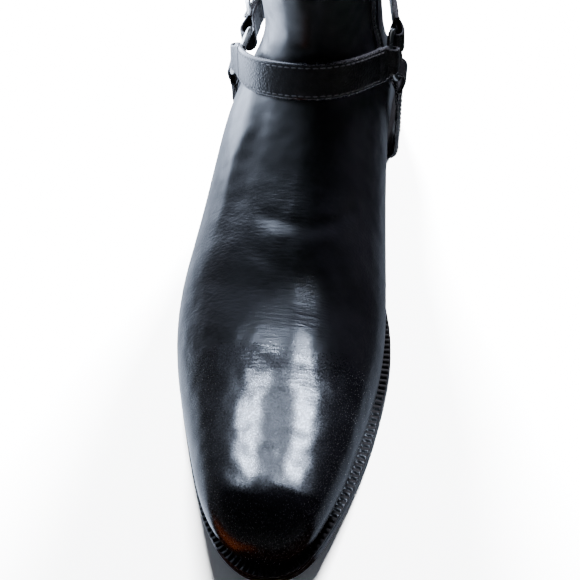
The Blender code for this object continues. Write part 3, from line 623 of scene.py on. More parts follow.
@dataclass(frozen=True)
class Finish:
    """One colour, or two in clouds, with uneven gloss and reliefs at their real sizes."""

    name: str
    dark: str
    roughness: float
    wear: Pattern
    light: str = ""
    cloud: Pattern = Pattern(6.0)
    smoother: float = 0.05
    rougher: float = 0.1
    reliefs: tuple[tuple[Pattern, float], ...] = ()
    gloss: float = 0.5
    metallic: float = 0.0

    def material(self) -> bpy.types.Material:
        """Builds the finish.

        Returns:
            The material.
        """
        shader = Shader(self.name)
        colour = linear(self.dark)
        if self.light:
            colour = shader.clouds(shader.pattern(self.cloud), self.dark, self.light)
        low, high = self.roughness - self.smoother, self.roughness + self.rougher
        shader.set(
            Base_Color=colour,
            Metallic=self.metallic,
            Specular_IOR_Level=self.gloss,
            Roughness=shader.uneven(shader.pattern(self.wear), low, high),
        )
        if self.reliefs:
            layers = [(shader.pattern(pattern), depth_mm) for pattern, depth_mm in self.reliefs]
            shader.set(Normal=shader.relief(*layers))
        return shader.material


@dataclass(frozen=True)
class GlazedCalf:
    """Black glazed calf: a fine even grain under a gloss finish, with hairline wrinkles at the vamp's flex.

    The toe is polished more than the rest. Ranges are places along the boot in millimetres. The real grain is
    about 0.3 mm wide, and it is drawn nearly twice as coarse, so that it shows.
    """

    dark: str = "020203"
    light: str = "040406"
    cloud: Pattern = Pattern(18.0)
    polished: float = 0.26
    plain: float = 0.34
    polish_range: Flat = (-234.0, -220.0)
    toe_gloss: float = 0.5
    vamp_gloss: float = 0.35
    gloss_range: Flat = (-240.0, -215.0)
    sag: Pattern = Pattern(13.0, 1.0)
    sag_depth_mm: float = 1.0
    grain: Pattern = Pattern(0.55, cells="F1")
    pores: Pattern = Pattern(0.9, 3.0)
    grain_depth_mm: float = 0.017
    wrinkles: Pattern = Pattern(1.1, 2.0, (7.0, 1.0, 1.0))
    wrinkle_depth_mm: float = 0.16
    flex_ranges: tuple[tuple[float, float], ...] = ((-262.0, -225.0), (-150.0, -172.0))

    def material(self) -> bpy.types.Material:
        """Builds the finish.

        Returns:
            The material.
        """
        shader = Shader("glazed_calf")
        along = shader.add("SeparateXYZ", "Y", Vector=shader.place)
        pores = shader.pattern(self.pores)
        wrinkles = shader.pattern(self.wrinkles)
        for start, end in self.flex_ranges:
            share = shader.add("MapRange", Value=along, From_Min=start, From_Max=end, To_Min=0.0, To_Max=1.0)
            wrinkles = shader.add("Math", operation="MULTIPLY", in0=wrinkles, in1=share)
        low, high = self.polish_range
        polish = shader.add(
            "MapRange", Value=along, From_Min=low, From_Max=high, To_Min=self.polished, To_Max=self.plain
        )
        low, high = self.gloss_range
        toe, vamp = self.toe_gloss, self.vamp_gloss
        gloss = shader.add("MapRange", Value=along, From_Min=low, From_Max=high, To_Min=toe, To_Max=vamp)
        shader.set(
            Base_Color=shader.clouds(shader.pattern(self.cloud), self.dark, self.light),
            Roughness=shader.add("Math", operation="ADD", in0=polish, in1=shader.uneven(pores, -0.03, 0.05)),
            Specular_IOR_Level=gloss,
            Normal=shader.relief(
                (shader.pattern(self.sag), self.sag_depth_mm),
                (shader.pattern(self.grain), self.grain_depth_mm),
                (pores, self.grain_depth_mm),
                (wrinkles, self.wrinkle_depth_mm),
            ),
        )
        return shader.material


@dataclass(frozen=True)
class StrapLeather(Finish):
    """Black strap leather: a pebbled grain, drawn coarse enough to show, with less gloss than the upper."""

    name: str = "strap_leather"
    dark: str = "020203"
    light: str = "050506"
    roughness: float = 0.36
    rougher: float = 0.08
    wear: Pattern = Pattern(0.5, 3.0)
    reliefs: tuple = ((Pattern(0.95, cells="SMOOTH_F1"), 0.22), (Pattern(0.5, 3.0), 0.11))
    gloss: float = 0.20


@dataclass(frozen=True)
class EdgePaint(Finish):
    """Burnished edge paint of the straps: smooth, dark grey, half gloss."""

    name: str = "edge_paint"
    dark: str = "101013"
    roughness: float = 0.22
    wear: Pattern = Pattern(2.0)
    reliefs: tuple = ((Pattern(0.7), 0.03),)


@dataclass(frozen=True)
class LiningLeather(Finish):
    """Smooth tan lining and insole leather with open pores."""

    name: str = "lining_leather"
    dark: str = "4a2c1c"
    light: str = "70492f"
    cloud: Pattern = Pattern(14.0, 4.0)
    roughness: float = 0.62
    smoother: float = 0.06
    wear: Pattern = Pattern(1.5)
    reliefs: tuple = ((Pattern(0.7, cells="F1"), 0.05),)


@dataclass(frozen=True)
class DressedSole(Finish):
    """Sole leather with dark edge dressing: waxed, with a trace of the fibres that run along it."""

    name: str = "dressed_sole"
    dark: str = "060607"
    light: str = "0e0e10"
    cloud: Pattern = Pattern(5.0, 3.0)
    roughness: float = 0.36
    smoother: float = 0.06
    rougher: float = 0.12
    wear: Pattern = Pattern(0.6, 3.0, (3.0, 3.0, 0.5))
    reliefs: tuple = ((Pattern(0.6, 3.0, (3.0, 3.0, 0.5)), 0.06),)
    gloss: float = 0.3


@dataclass(frozen=True)
class TreadRubber(Finish):
    """Matte black rubber with a fine cast texture."""

    name: str = "tread_rubber"
    dark: str = "131313"
    roughness: float = 0.78
    smoother: float = 0.08
    wear: Pattern = Pattern(3.0)
    reliefs: tuple = ((Pattern(0.4, 3.0), 0.04),)


@dataclass(frozen=True)
class PlatedSteel(Finish):
    """Polished nickel plate with hairline rub marks."""

    name: str = "plated_steel"
    dark: str = "c9c8c4"
    roughness: float = 0.16
    rougher: float = 0.12
    wear: Pattern = Pattern(0.8, 4.0, (1.0, 1.0, 6.0))
    reliefs: tuple = ((Pattern(0.8, 4.0, (1.0, 1.0, 6.0)), 0.006),)
    metallic: float = 1.0


@dataclass(frozen=True)
class ZipTape:
    """Red-brown woven zip tape: a plain weave of fine yarns, drawn twice as coarse as real ones to show. Its
    colour is painted darker where the weave lies low, as painted shade in the weave's hollows.
    """

    dark: str = "38150e"
    light: str = "6a2d1f"
    yarn_mm: float = 0.45
    weave_depth_mm: float = 0.12
    roughness: float = 0.85

    def material(self) -> bpy.types.Material:
        """Builds the finish.

        Returns:
            The material.
        """
        shader = Shader("zip_tape")
        waves = []
        for axis in ("Y", "Z"):
            place = shader.add("SeparateXYZ", axis, Vector=shader.place)
            turns = shader.add("Math", operation="MULTIPLY", in0=place, in1=2 * math.pi / self.yarn_mm)
            waves.append(shader.add("Math", operation="SINE", in0=turns))
        crossed = shader.add("Math", operation="MULTIPLY", in0=waves[0], in1=waves[1])
        weave = shader.add("MapRange", Value=crossed, From_Min=-1.0, From_Max=1.0, To_Min=0.0, To_Max=1.0)
        shader.set(
            # The weave's height also sets the colour: the dark colour in the weave's hollows is painted shade
            Base_Color=shader.clouds(weave, self.dark, self.light),
            Roughness=self.roughness,
            Normal=shader.relief((weave, self.weave_depth_mm)),
        )
        return shader.material


@dataclass(frozen=True)
class WaxedThread(Finish):
    """Waxed black thread, a little greyer than the leather."""

    name: str = "waxed_thread"
    dark: str = "1c1c20"
    roughness: float = 0.5
    wear: Pattern = Pattern(0.3)
    reliefs: tuple = ((Pattern(0.25), 0.04),)


@dataclass(frozen=True)
class PaleFloor(Finish):
    """The plain pale sheet that the boot stands on."""

    name: str = "pale_floor"
    dark: str = "f4f5f7"
    roughness: float = 0.9
    rougher: float = 0.05
    wear: Pattern = Pattern(40.0)
    gloss: float = 0.2


@dataclass
class Finishes:
    """All the finishes of the boot, each built once."""

    calf: bpy.types.Material = field(default_factory=GlazedCalf().material)
    strap: bpy.types.Material = field(default_factory=StrapLeather().material)
    edge: bpy.types.Material = field(default_factory=EdgePaint().material)
    lining: bpy.types.Material = field(default_factory=LiningLeather().material)
    sole: bpy.types.Material = field(default_factory=DressedSole().material)
    rubber: bpy.types.Material = field(default_factory=TreadRubber().material)
    steel: bpy.types.Material = field(default_factory=PlatedSteel().material)
    tape: bpy.types.Material = field(default_factory=ZipTape().material)
    thread: bpy.types.Material = field(default_factory=WaxedThread().material)


def add_mesh(
    name: str,
    points: Iterable[Sequence[float]],
    faces: Iterable[Sequence[int]],
    materials: Sequence[bpy.types.Material],
    kinds: Sequence[int] | None = None,
    sharp: float = 50.0,
) -> bpy.types.Object:
    """A smooth-shaded mesh object.

    Args:
        name: the object's name.
        points: its points.
        faces: its faces, as lists of point numbers.
        materials: one or more materials.
        kinds: for each face, which material it has.
        sharp: edges that turn by more degrees than this stay sharp.

    Returns:
        The object, linked to the scene.
    """
    mesh = bpy.data.meshes.new(name)
    shape = bmesh.new()
    corners = [shape.verts.new(point) for point in points]
    for number, face in enumerate(faces):
        ring = list(dict.fromkeys(corners[index] for index in face))
        if len(ring) < 3:
            continue
        try:
            made = shape.faces.new(ring)
        except ValueError:  # the same face twice, where rows close to one point
            continue
        made.smooth = True
        if kinds is not None:
            made.material_index = int(kinds[number])
    loose = [corner for corner in shape.verts if not corner.link_faces]
    bmesh.ops.delete(shape, geom=loose, context="VERTS")
    bmesh.ops.recalc_face_normals(shape, faces=shape.faces)
    shape.to_mesh(mesh)
    shape.free()
    mesh.set_sharp_from_angle(angle=math.radians(sharp))
    made = bpy.data.objects.new(name, mesh)
    for material in materials:
        made.data.materials.append(material)
    bpy.context.scene.collection.objects.link(made)
    return made


def grid_faces(rows: int, width: int, around: bool = False, start: int = 0) -> list[list[int]]:
    """Quads over a grid of points.

    Args:
        rows: rows of points.
        width: points in a row.
        around: whether each row closes on itself.
        start: number of the grid's first point.

    Returns:
        The faces.
    """
    faces = []
    for row in range(rows - 1):
        for column in range(width if around else width - 1):
            ahead = (column + 1) % width
            here, there = start + row * width, start + (row + 1) * width
            faces.append([here + column, here + ahead, there + ahead, there + column])
    return faces


def slab_faces(rows: int, columns: int, ends: bool) -> list[list[int]]:
    """Faces of two grids, one over the other, joined round the rim.

    Args:
        rows: steps along.
        columns: steps across.
        ends: whether the first and the last row are joined too.

    Returns:
        The faces.
    """
    width = columns + 1
    layer = (rows + 1) * width
    rim = [(row * width + column, width) for row in range(rows) for column in (0, columns)]
    if ends:
        rim += [(row * width + column, 1) for row in (0, rows) for column in range(columns)]
    sides = [[here, here + step, layer + here + step, layer + here] for here, step in rim]
    return grid_faces(rows + 1, width) + grid_faces(rows + 1, width, start=layer) + sides


def torus_faces(rows: int, width: int) -> list[list[int]]:
    """Quads over rows of points that close on themselves both ways.

    Args:
        rows: rows of points.
        width: points in a row.

    Returns:
        The faces.
    """
    last = (rows - 1) * width
    seam = [[last + k, last + (k + 1) % width, (k + 1) % width, k] for k in range(width)]
    return grid_faces(rows, width, around=True) + seam


def tube_faces(rows: int, width: int, start: int = 0) -> list[list[int]]:
    """Quads round a tube and a cap at each end, which come last.

    Args:
        rows: rings of points.
        width: points in a ring.
        start: number of the first point.

    Returns:
        The faces.
    """
    caps = [[first + k for k in range(width)] for first in (start, start + (rows - 1) * width)]
    return grid_faces(rows, width, True, start) + caps


def weld(target: bpy.types.Object, within_mm: float) -> None:
    """Joins an object's points that lie within a distance."""
    target.modifiers.new("weld", "WELD").merge_threshold = within_mm * MM


def bevel(target: bpy.types.Object, width_mm: float, segments: int = 3, angle: float = 35.0) -> None:
    """Rounds an object's sharp edges.

    Args:
        target: the object.
        width_mm: the bevel's width.
        segments: its steps.
        angle: edges that turn by more degrees than this are rounded.
    """
    modifier = target.modifiers.new("rounded", "BEVEL")
    modifier.width = width_mm * MM
    modifier.segments = segments
    modifier.limit_method = "ANGLE"
    modifier.angle_limit = math.radians(angle)
    modifier.harden_normals = False


def unit(vector: Sequence[float]) -> Vector:
    """The vector at length 1."""
    return Vector(vector).normalized()


@dataclass
class Assembly:
    """A sub-assembly in the maker's frame, with the pieces that it has made."""

    finishes: Finishes
    pieces: list[bpy.types.Object] = field(default_factory=list, kw_only=True)

    def keep(self, made: bpy.types.Object, slot: str, node: str = "") -> None:
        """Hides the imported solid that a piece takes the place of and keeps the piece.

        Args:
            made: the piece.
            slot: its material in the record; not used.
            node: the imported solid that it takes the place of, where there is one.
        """
        if node:
            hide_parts(node)
        self.pieces.append(made)


def dress_solid(
    frame: dict,
    node: str,
    name: str,
    material: bpy.types.Material,
    bevel_mm: float,
    segments: int,
    body: str = "boot",
) -> None:
    """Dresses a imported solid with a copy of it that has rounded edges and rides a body.

    Args:
        frame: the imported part.
        node: the solid's name in it.
        name: the copy's name.
        material: its material.
        bevel_mm: how wide its edges are rounded.
        segments: the rounding's steps.
        body: the body that it rides.
    """
    made = bpy.data.objects.new(name, frame["nodes"][node].data.copy())
    bpy.context.scene.collection.objects.link(made)
    made.data.materials.clear()
    made.data.materials.append(material)
    weld(made, 0.02)
    bevel(made, bevel_mm, segments)
    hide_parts(node)
    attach(made, body)
    log.info("%s: %d faces", name, len(made.data.polygons))


@dataclass(frozen=True)
class Fold:
    """A soft trough or ridge pressed into the upper by wear.

    path is in millimetres, height_mm is positive for a ridge, width_mm is its half width.
    """

    path: tuple[Triple, ...]
    height_mm: float
    width_mm: float


FOLDS = (
    # The trough where the toes bend, with the dents and ridges on its toe side
    Fold(((-30, -201, 58), (-14, -206, 66), (4, -209, 66), (26, -208, 56)), -1.3, 10.0),
    Fold(((-16, -228, 58), (0, -233, 57), (12, -237, 56), (24, -238, 50)), -0.5, 5.0),
    Fold(((-14, -242, 55), (-6, -241, 56), (2, -244, 55)), 0.25, 4.0),
    Fold(((4, -221, 61), (12, -223, 60)), 0.3, 4.5),
    # The fine curved crease over it, the ridge before it and two short ones
    Fold(((-15, -175, 77), (-4, -179, 77), (7, -180, 76), (16, -176, 74), (24, -166, 71)), -0.9, 2.8),
    Fold(((-8, -186, 75), (4, -188, 75), (14, -184, 73)), 0.6, 5.0),
    Fold(((-18, -190, 72), (-10, -196, 70), (-3, -199, 70)), -0.5, 3.2),
    Fold(((16, -186, 71), (22, -196, 66)), -0.4, 3.5),
    # The long ridge down the outer side of the instep and the hollow inside it
    Fold(((-25, -116, 98), (-27, -133, 89), (-32, -143, 80), (-34, -156, 74), (-36, -172, 68)), 0.8, 5.0),
    Fold(((-17, -122, 98), (-19, -137, 89), (-24, -150, 82), (-27, -165, 76)), -0.6, 6.0),
    Fold(((-6, -133, 99), (4, -133, 99)), 0.35, 3.0),
    # The dimple on the toe's ridge
    Fold(((2, -252, 53), (2, -262, 51), (1, -272, 48)), -0.4, 5.0),
)


@dataclass
class Upper(Assembly):
    """The lasted upper with its lining, the rolled collar and the zip's slot."""

    last: Last
    rows: int = 12
    low_steps: int = 12
    high_steps: int = 64
    lining_step: int = 3
    roll_steps: int = 8
    smooth_passes: int = 70
    smooth_from: Flat = (13.0, 14.5)
    smooth_until: Flat = (19.0, 21.0)
    smooth_low: Flat = (10.0, 30.0)
    smooth_share: float = 0.9

    @staticmethod
    def normals(skin: np.ndarray) -> np.ndarray:
        """Outward unit normals of a grid of points.

        Args:
            skin: rows of points.

        Returns:
            A normal for each point.
        """
        normal = np.cross(np.gradient(skin, axis=1), np.gradient(skin, axis=0))
        normal /= np.linalg.norm(normal, axis=2, keepdims=True) + 1e-12
        middle = normal[len(skin) // 3, skin.shape[1] // 2]
        return normal if middle[2] > 0 else -normal

    def smoothed(self, skin: np.ndarray) -> np.ndarray:
        """The skin with the fold between the foot's last sections and the shaft's first ones drawn out.

        Args:
            skin: rows of points.

        Returns:
            The smoothed rows.
        """
        place = np.arange(len(skin)) / self.rows
        rows = eased(place, *self.smooth_from) * (1 - eased(place, *self.smooth_until))
        middle = (skin.shape[1] - 1) / 2
        columns = eased(np.abs(np.arange(skin.shape[1]) - middle), *self.smooth_low)
        mask = self.smooth_share * rows[:, None] * columns[None, :]
        mask[:, [0, -1]] = 0
        for _ in range(self.smooth_passes):
            middles = skin.copy()
            middles[1:-1, 1:-1] = (skin[:-2, 1:-1] + skin[2:, 1:-1] + skin[1:-1, :-2] + skin[1:-1, 2:]) / 4
            skin = skin + (middles - skin) * mask[..., None]
        return skin

    def creased(self, skin: np.ndarray) -> np.ndarray:
        """The skin with its folds pressed in.

        Args:
            skin: rows of points.

        Returns:
            The creased rows.
        """
        lift = np.zeros(skin.shape[:2])
        for fold in FOLDS:
            path = np.array(fold.path) * MM
            nearest = np.full(skin.shape[:2], np.inf)
            for start, end in zip(path, path[1:]):
                run = end - start
                share = np.clip(((skin - start) @ run) / (run @ run), 0, 1)
                nearest = np.minimum(nearest, np.linalg.norm(skin - (start + share[..., None] * run), axis=2))
            lift += fold.height_mm * MM * np.exp(-((nearest / (fold.width_mm * MM)) ** 2))
        return skin + self.normals(skin) * lift[..., None]

    @staticmethod
    def near_slot(
        shape: bmesh.types.BMesh, medial: float = 0.01, margin: float = 0.004
    ) -> list[bmesh.types.BMFace]:
        """Faces on the inner side of the foot, from a margin under the zip's foot upward."""
        middles = ((face, face.calc_center_median()) for face in shape.faces)
        return [face for face, middle in middles if middle.x > medial and middle.z > ZIP_FOOT - margin]

    def cut_slot(self, made: bpy.types.Object) -> None:
        """Opens the zip's slot in a skin: a straight slit with a square foot, hidden under its turned edge.

        Args:
            made: the skin.
        """
        half = ZIP_SLOT / 2
        shape = bmesh.new()
        shape.from_mesh(made.data)
        for place, across in (
            ((0, -ZIP_ALONG - half, 0), (0, 1, 0)),
            ((0, -ZIP_ALONG + half, 0), (0, 1, 0)),
            ((0, 0, ZIP_FOOT), (0, 0, 1)),
        ):
            faces = self.near_slot(shape)
            edges = list({e for f in faces for e in f.edges})
            geometry = list({v for f in faces for v in f.verts}) + edges + faces
            bmesh.ops.bisect_plane(shape, geom=geometry, plane_co=place, plane_no=across)
        gone = []
        for face in self.near_slot(shape):
            middle = face.calc_center_median()
            if abs(middle.y + ZIP_ALONG) < half and middle.z > ZIP_FOOT:
                gone.append(face)
        bmesh.ops.delete(shape, geom=gone, context="FACES")
        shape.to_mesh(made.data)
        shape.free()

    def build(self) -> None:
        """Builds the shell: the creased outside, the rolled collar edge and the lining as one sheet."""
        outer, inner = (
            self.creased(self.smoothed(self.last.skin(depth, self.rows, self.low_steps, self.high_steps)))
            for depth in (0.0, WALL)
        )
        middle, reach = (outer[-1] + inner[-1]) / 2, (outer[-1] - inner[-1]) / 2
        rise = outer[-1] - outer[-2]
        rise /= np.linalg.norm(rise, axis=1, keepdims=True)
        angles = [math.pi * step / self.roll_steps for step in range(1, self.roll_steps)]
        roll = [middle + reach * math.cos(turn) + rise * (WALL / 2) * math.sin(turn) for turn in angles]
        sheet = np.concatenate([outer, np.array(roll), inner[:: -self.lining_step]])
        width = outer.shape[1]
        faces = grid_faces(len(sheet), width)
        lining_from = (len(outer) + self.roll_steps // 2 - 1) * (width - 1)
        kinds = [int(number >= lining_from) for number in range(len(faces))]
        materials = (self.finishes.calf, self.finishes.lining)
        shell = add_mesh("upper_shell", sheet.reshape(-1, 3), faces, materials, kinds)
        self.cut_slot(shell)
        self.keep(shell, "calf_leather", "upper")


# The welt's section, from its inner edge over the top, where the stitch wheel marks it, to the underside:
# inset and drop in millimetres, and how deep the marks go there
WELT_PROFILE = (
    (13.0, 0.0, 0), (6.0, 0.0, 0), (4.9, 0.1, 0), (4.2, 0.15, 0.3), (3.6, 0.1, 0.9), (2.8, 0.05, 1),
    (2.0, 0.05, 1), (1.3, 0.05, 1), (0.8, 0.15, 0.9), (0.45, 0.3, 0.5), (0.15, 0.6, 0.1), (0.0, 1.1, 0),
    (0.0, 2.4, 0), (0.2, 2.9, 0), (13.0, 3.0, 0),
)  # fmt: skip


@dataclass
class Sole(Assembly):
    """Insole, welt with its wheeled crimps, outsole and the stacked heel."""

    last: Last
    crimp_pitch_mm: float = 2.8
    crimp_depth_mm: float = 0.75
    crimp_start: float = 0.42
    crimp_run: float = 0.02
    crimp_sharpness: float = 0.6
    welt_steps: int = 1300
    plate_rows: int = 220
    plate_columns: int = 16
    heel_steps: int = 60
    breast_steps: int = 16

    def plate(
        self,
        name: str,
        inset: Callable[[Numbers], Numbers],
        bottom: Callable[[Numbers], Numbers],
        top: Callable[[Numbers], Numbers],
        material: bpy.types.Material,
    ) -> bpy.types.Object:
        """A plate that fills the sole's outline, inset, between two heights.

        Args:
            name: the object's name.
            inset: the inset at a turn.
            bottom: the lower face's height at a y.
            top: the upper face's height at a y.
            material: its material.

        Returns:
            The object.
        """
        turns = np.linspace(0, 1, self.plate_rows + 1)
        medial = self.last.inset(turns, Side.MEDIAL, inset(turns))
        lateral = self.last.inset(turns, Side.LATERAL, inset(turns))
        medial[[0, -1], 0] = lateral[[0, -1], 0] = 0
        share = np.linspace(0, 1, self.plate_columns + 1)[None, :, None]
        flat = lateral[:, None] * (1 - share) + medial[:, None] * share
        layers = [np.concatenate([flat, height(flat[..., 1])[..., None]], axis=2) for height in (bottom, top)]
        points = np.concatenate([layer.reshape(-1, 3) for layer in layers])
        faces = slab_faces(self.plate_rows, self.plate_columns, ends=False)
        made = add_mesh(name, points, faces, [material])
        weld(made, 0.01)
        return made

    def build_welt(self) -> None:
        """The welt: its top face carries raised marks from the stitch wheel round the forefoot."""
        turns = np.linspace(0, 1, self.welt_steps + 1)
        sections = []
        for side in Side:
            edge = self.last.edge(turns, side)
            inward = self.last.inward(turns, side)
            travel = np.concatenate([[0], np.cumsum(np.linalg.norm(np.diff(edge, axis=0), axis=1))])
            travel = travel[-1] - travel
            along = -edge[:, 1] / SOLE_LENGTH
            wave = 0.5 + 0.5 * np.cos(2 * math.pi * travel / (self.crimp_pitch_mm * MM))
            crimped = eased(along, self.crimp_start, self.crimp_start + self.crimp_run)
            wave = wave**self.crimp_sharpness * crimped
            rows = []
            for inset_mm, drop_mm, share in WELT_PROFILE:
                flat = edge + inward * (inset_mm * MM)
                flat[[0, -1], 0] = 0
                height = self.last.welt_top(flat[:, 1]) - drop_mm * MM
                height = height - (1 - wave) * share * self.crimp_depth_mm * MM
                rows.append(np.concatenate([flat, height[:, None]], axis=1))
            rows = np.array(rows)
            sections.append(rows if side is Side.MEDIAL else rows[:, ::-1][:, 1:-1])
        ring = np.concatenate(sections, axis=1).transpose(1, 0, 2)
        faces = torus_faces(*ring.shape[:2])
        made = add_mesh("welt_strip", ring.reshape(-1, 3), faces, [self.finishes.sole], sharp=70)
        self.keep(made, "sole_leather", "welt")

    def heel_outline(self, inset: float) -> list[np.ndarray]:
        """Points round the heel and its hollow breast.

        Args:
            inset: how far they are moved in.

        Returns:
            (x, y) points.
        """
        last, steps = float(turn_of(HEEL_LENGTH / SOLE_LENGTH)), self.heel_steps
        points = [self.last.inset(last * step / steps, Side.LATERAL, inset) for step in range(steps, 0, -1)]
        points += [self.last.inset(last * step / steps, Side.MEDIAL, inset) for step in range(steps + 1)]
        right, left = points[-1], points[0]
        for step in range(1, self.breast_steps):
            share = step / self.breast_steps
            x, y = right + (left - right) * share
            points.append(np.array([x, y + BREAST_HOLLOW * 4 * share * (1 - share)]))
        return points

    def heel_layer(
        self, name: str, low: float, high: float, material: bpy.types.Material
    ) -> bpy.types.Object:
        """One layer of the heel.

        Args:
            name: the object's name.
            low: its underside's height.
            high: its upper face's height.
            material: its material.

        Returns:
            The object.
        """
        points = []
        for height in (low, high):
            inset = HEEL_INSET + HEEL_TAPER * (1 - height / HEEL_HEIGHT)
            points += [(x, y, height) for x, y in self.heel_outline(inset)]
        count = len(points) // 2
        faces = [list(range(count)), list(range(count, 2 * count))]
        for step in range(count):
            ahead = (step + 1) % count
            faces.append([step, ahead, count + ahead, count + step])
        made = add_mesh(name, points, faces, [material])
        bevel(made, 0.35)
        return made

    def build(self) -> None:
        """Builds all the pieces under the upper."""
        last, finishes = self.last, self.finishes
        insole = self.plate(
            "insole_board",
            lambda turn: last.extension(turn) + WALL + INSOLE_CLEARANCE,
            last.feather_height,
            lambda y: last.feather_height(y) + INSOLE_THICKNESS,
            finishes.lining,
        )
        self.keep(insole, "insole_leather", "insole")
        self.build_welt()
        heights = (last.tread_height, last.outsole_top)
        outsole = self.plate("outsole_leather", np.zeros_like, *heights, finishes.sole)
        bevel(outsole, 0.7)
        self.keep(outsole, "sole_leather", "outsole")
        lift = (HEEL_HEIGHT - TOP_PIECE_THICKNESS) / HEEL_LIFTS
        for layer in range(HEEL_LIFTS):
            low = TOP_PIECE_THICKNESS + lift * layer
            made = self.heel_layer(f"heel_layer_{layer + 1}", low, low + lift - SEAT_GAP / 3, finishes.sole)
            self.keep(made, "sole_leather", f"heel_lift_{layer + 1}")
        made = self.heel_layer("heel_top_rubber", 0.0, TOP_PIECE_THICKNESS - SEAT_GAP / 3, finishes.rubber)
        self.keep(made, "rubber", "heel_top_piece")


class Skin:
    """Finds points on a face of the upper by looking along a line."""

    def __init__(self, points: np.ndarray) -> None:
        """Takes the face as rows of points."""
        corners = [Vector(point) for point in points.reshape(-1, 3)]
        self.tree = BVHTree.FromPolygons(corners, grid_faces(*points.shape[:2]), epsilon=0.0)

    def reach(self, start: Sequence[float], direction: Sequence[float]) -> float:
        """How far the face lies from a point inside it.

        Args:
            start: the point.
            direction: a unit direction.

        Returns:
            The distance in metres.
        """
        return self.tree.ray_cast(Vector(start), Vector(direction))[3]


# Where a ring feels for the ankle, as shares of its own reach, and how far out the corners may lie
RING_PROBES = (-1, -0.5, 0, 0.5, 1)
RING_PROBE_LIMIT = 1.3


class Ring:
    """Where a ring lies against the side of the ankle."""

    def __init__(self, skin: Skin, side: Side) -> None:
        """Fits the ring's plane to the skin.

        Args:
            skin: the upper's outer face.
            side: which side of the ankle.
        """
        middle = Vector((0, -RING_ALONG, RING_HEIGHT))
        spread = RING_RADIUS + LOOP_BORE + LOOP_SKIN
        places, reaches = [], []
        for up in RING_PROBES:
            for ahead in RING_PROBES:
                if up * up + ahead * ahead > RING_PROBE_LIMIT:
                    continue
                start = middle + Vector((0, ahead, up)) * spread
                places.append((1, ahead * spread, up * spread))
                reaches.append(skin.reach(start, (side.value, 0, 0)))
        places, reaches = np.array(places), np.array(reaches)
        fit = np.linalg.lstsq(places, reaches, rcond=None)[0]
        proud = float(np.max(reaches - places @ fit))
        self.side = side
        self.out = unit((side.value, -float(fit[1]), -float(fit[2])))
        self.centre = middle + Vector((side.value * (float(fit[0]) + proud + RING_STANDOFF), 0, 0))

    def toward(self, direction: Sequence[float]) -> Vector:
        """The direction in the ring's own plane nearest to the one given."""
        direction = Vector(direction)
        return unit(direction - self.out * direction.dot(self.out))

    def wire(self, direction: Sequence[float], beyond: float = 0.0) -> Vector:
        """The wire's middle in a direction, or a point past it."""
        return self.centre + self.toward(direction) * (RING_RADIUS + beyond)


def hull_of(points: Iterable[Flat]) -> list[Flat]:
    """The convex hull of (x, run) points.

    Args:
        points: the points.

    Returns:
        Its corners, counter-clockwise.
    """
    halves = []
    for ordered in (sorted(points), sorted(points, reverse=True)):
        half = []
        for point in ordered:
            while len(half) > 1:
                (ax, ar), (bx, br) = half[-2], half[-1]
                if (bx - ax) * (point[1] - ar) - (br - ar) * (point[0] - ax) > 0:
                    break
                half.pop()
            half.append(point)
        halves += half[:-1]
    return halves


def taut_chain(obstacles: Iterable[Flat], start: Flat, end: Flat) -> list[Flat]:
    """The shortest way from start to end round the far side of the obstacles.

    Args:
        obstacles: (x, run) points.
        start: the first end, which has a lower run than the obstacles.
        end: the other end, likewise.

    Returns:
        The part of their convex hull between the two.
    """
    hull = hull_of({*obstacles, start, end})
    first = hull.index(start)
    hull = hull[first:] + hull[:first]
    last = hull.index(end)
    one_way, other_way = hull[: last + 1], [start] + hull[last:][::-1]
    return max(one_way, other_way, key=lambda way: max(run for _, run in way[1:-1] or [(0, 0)]))


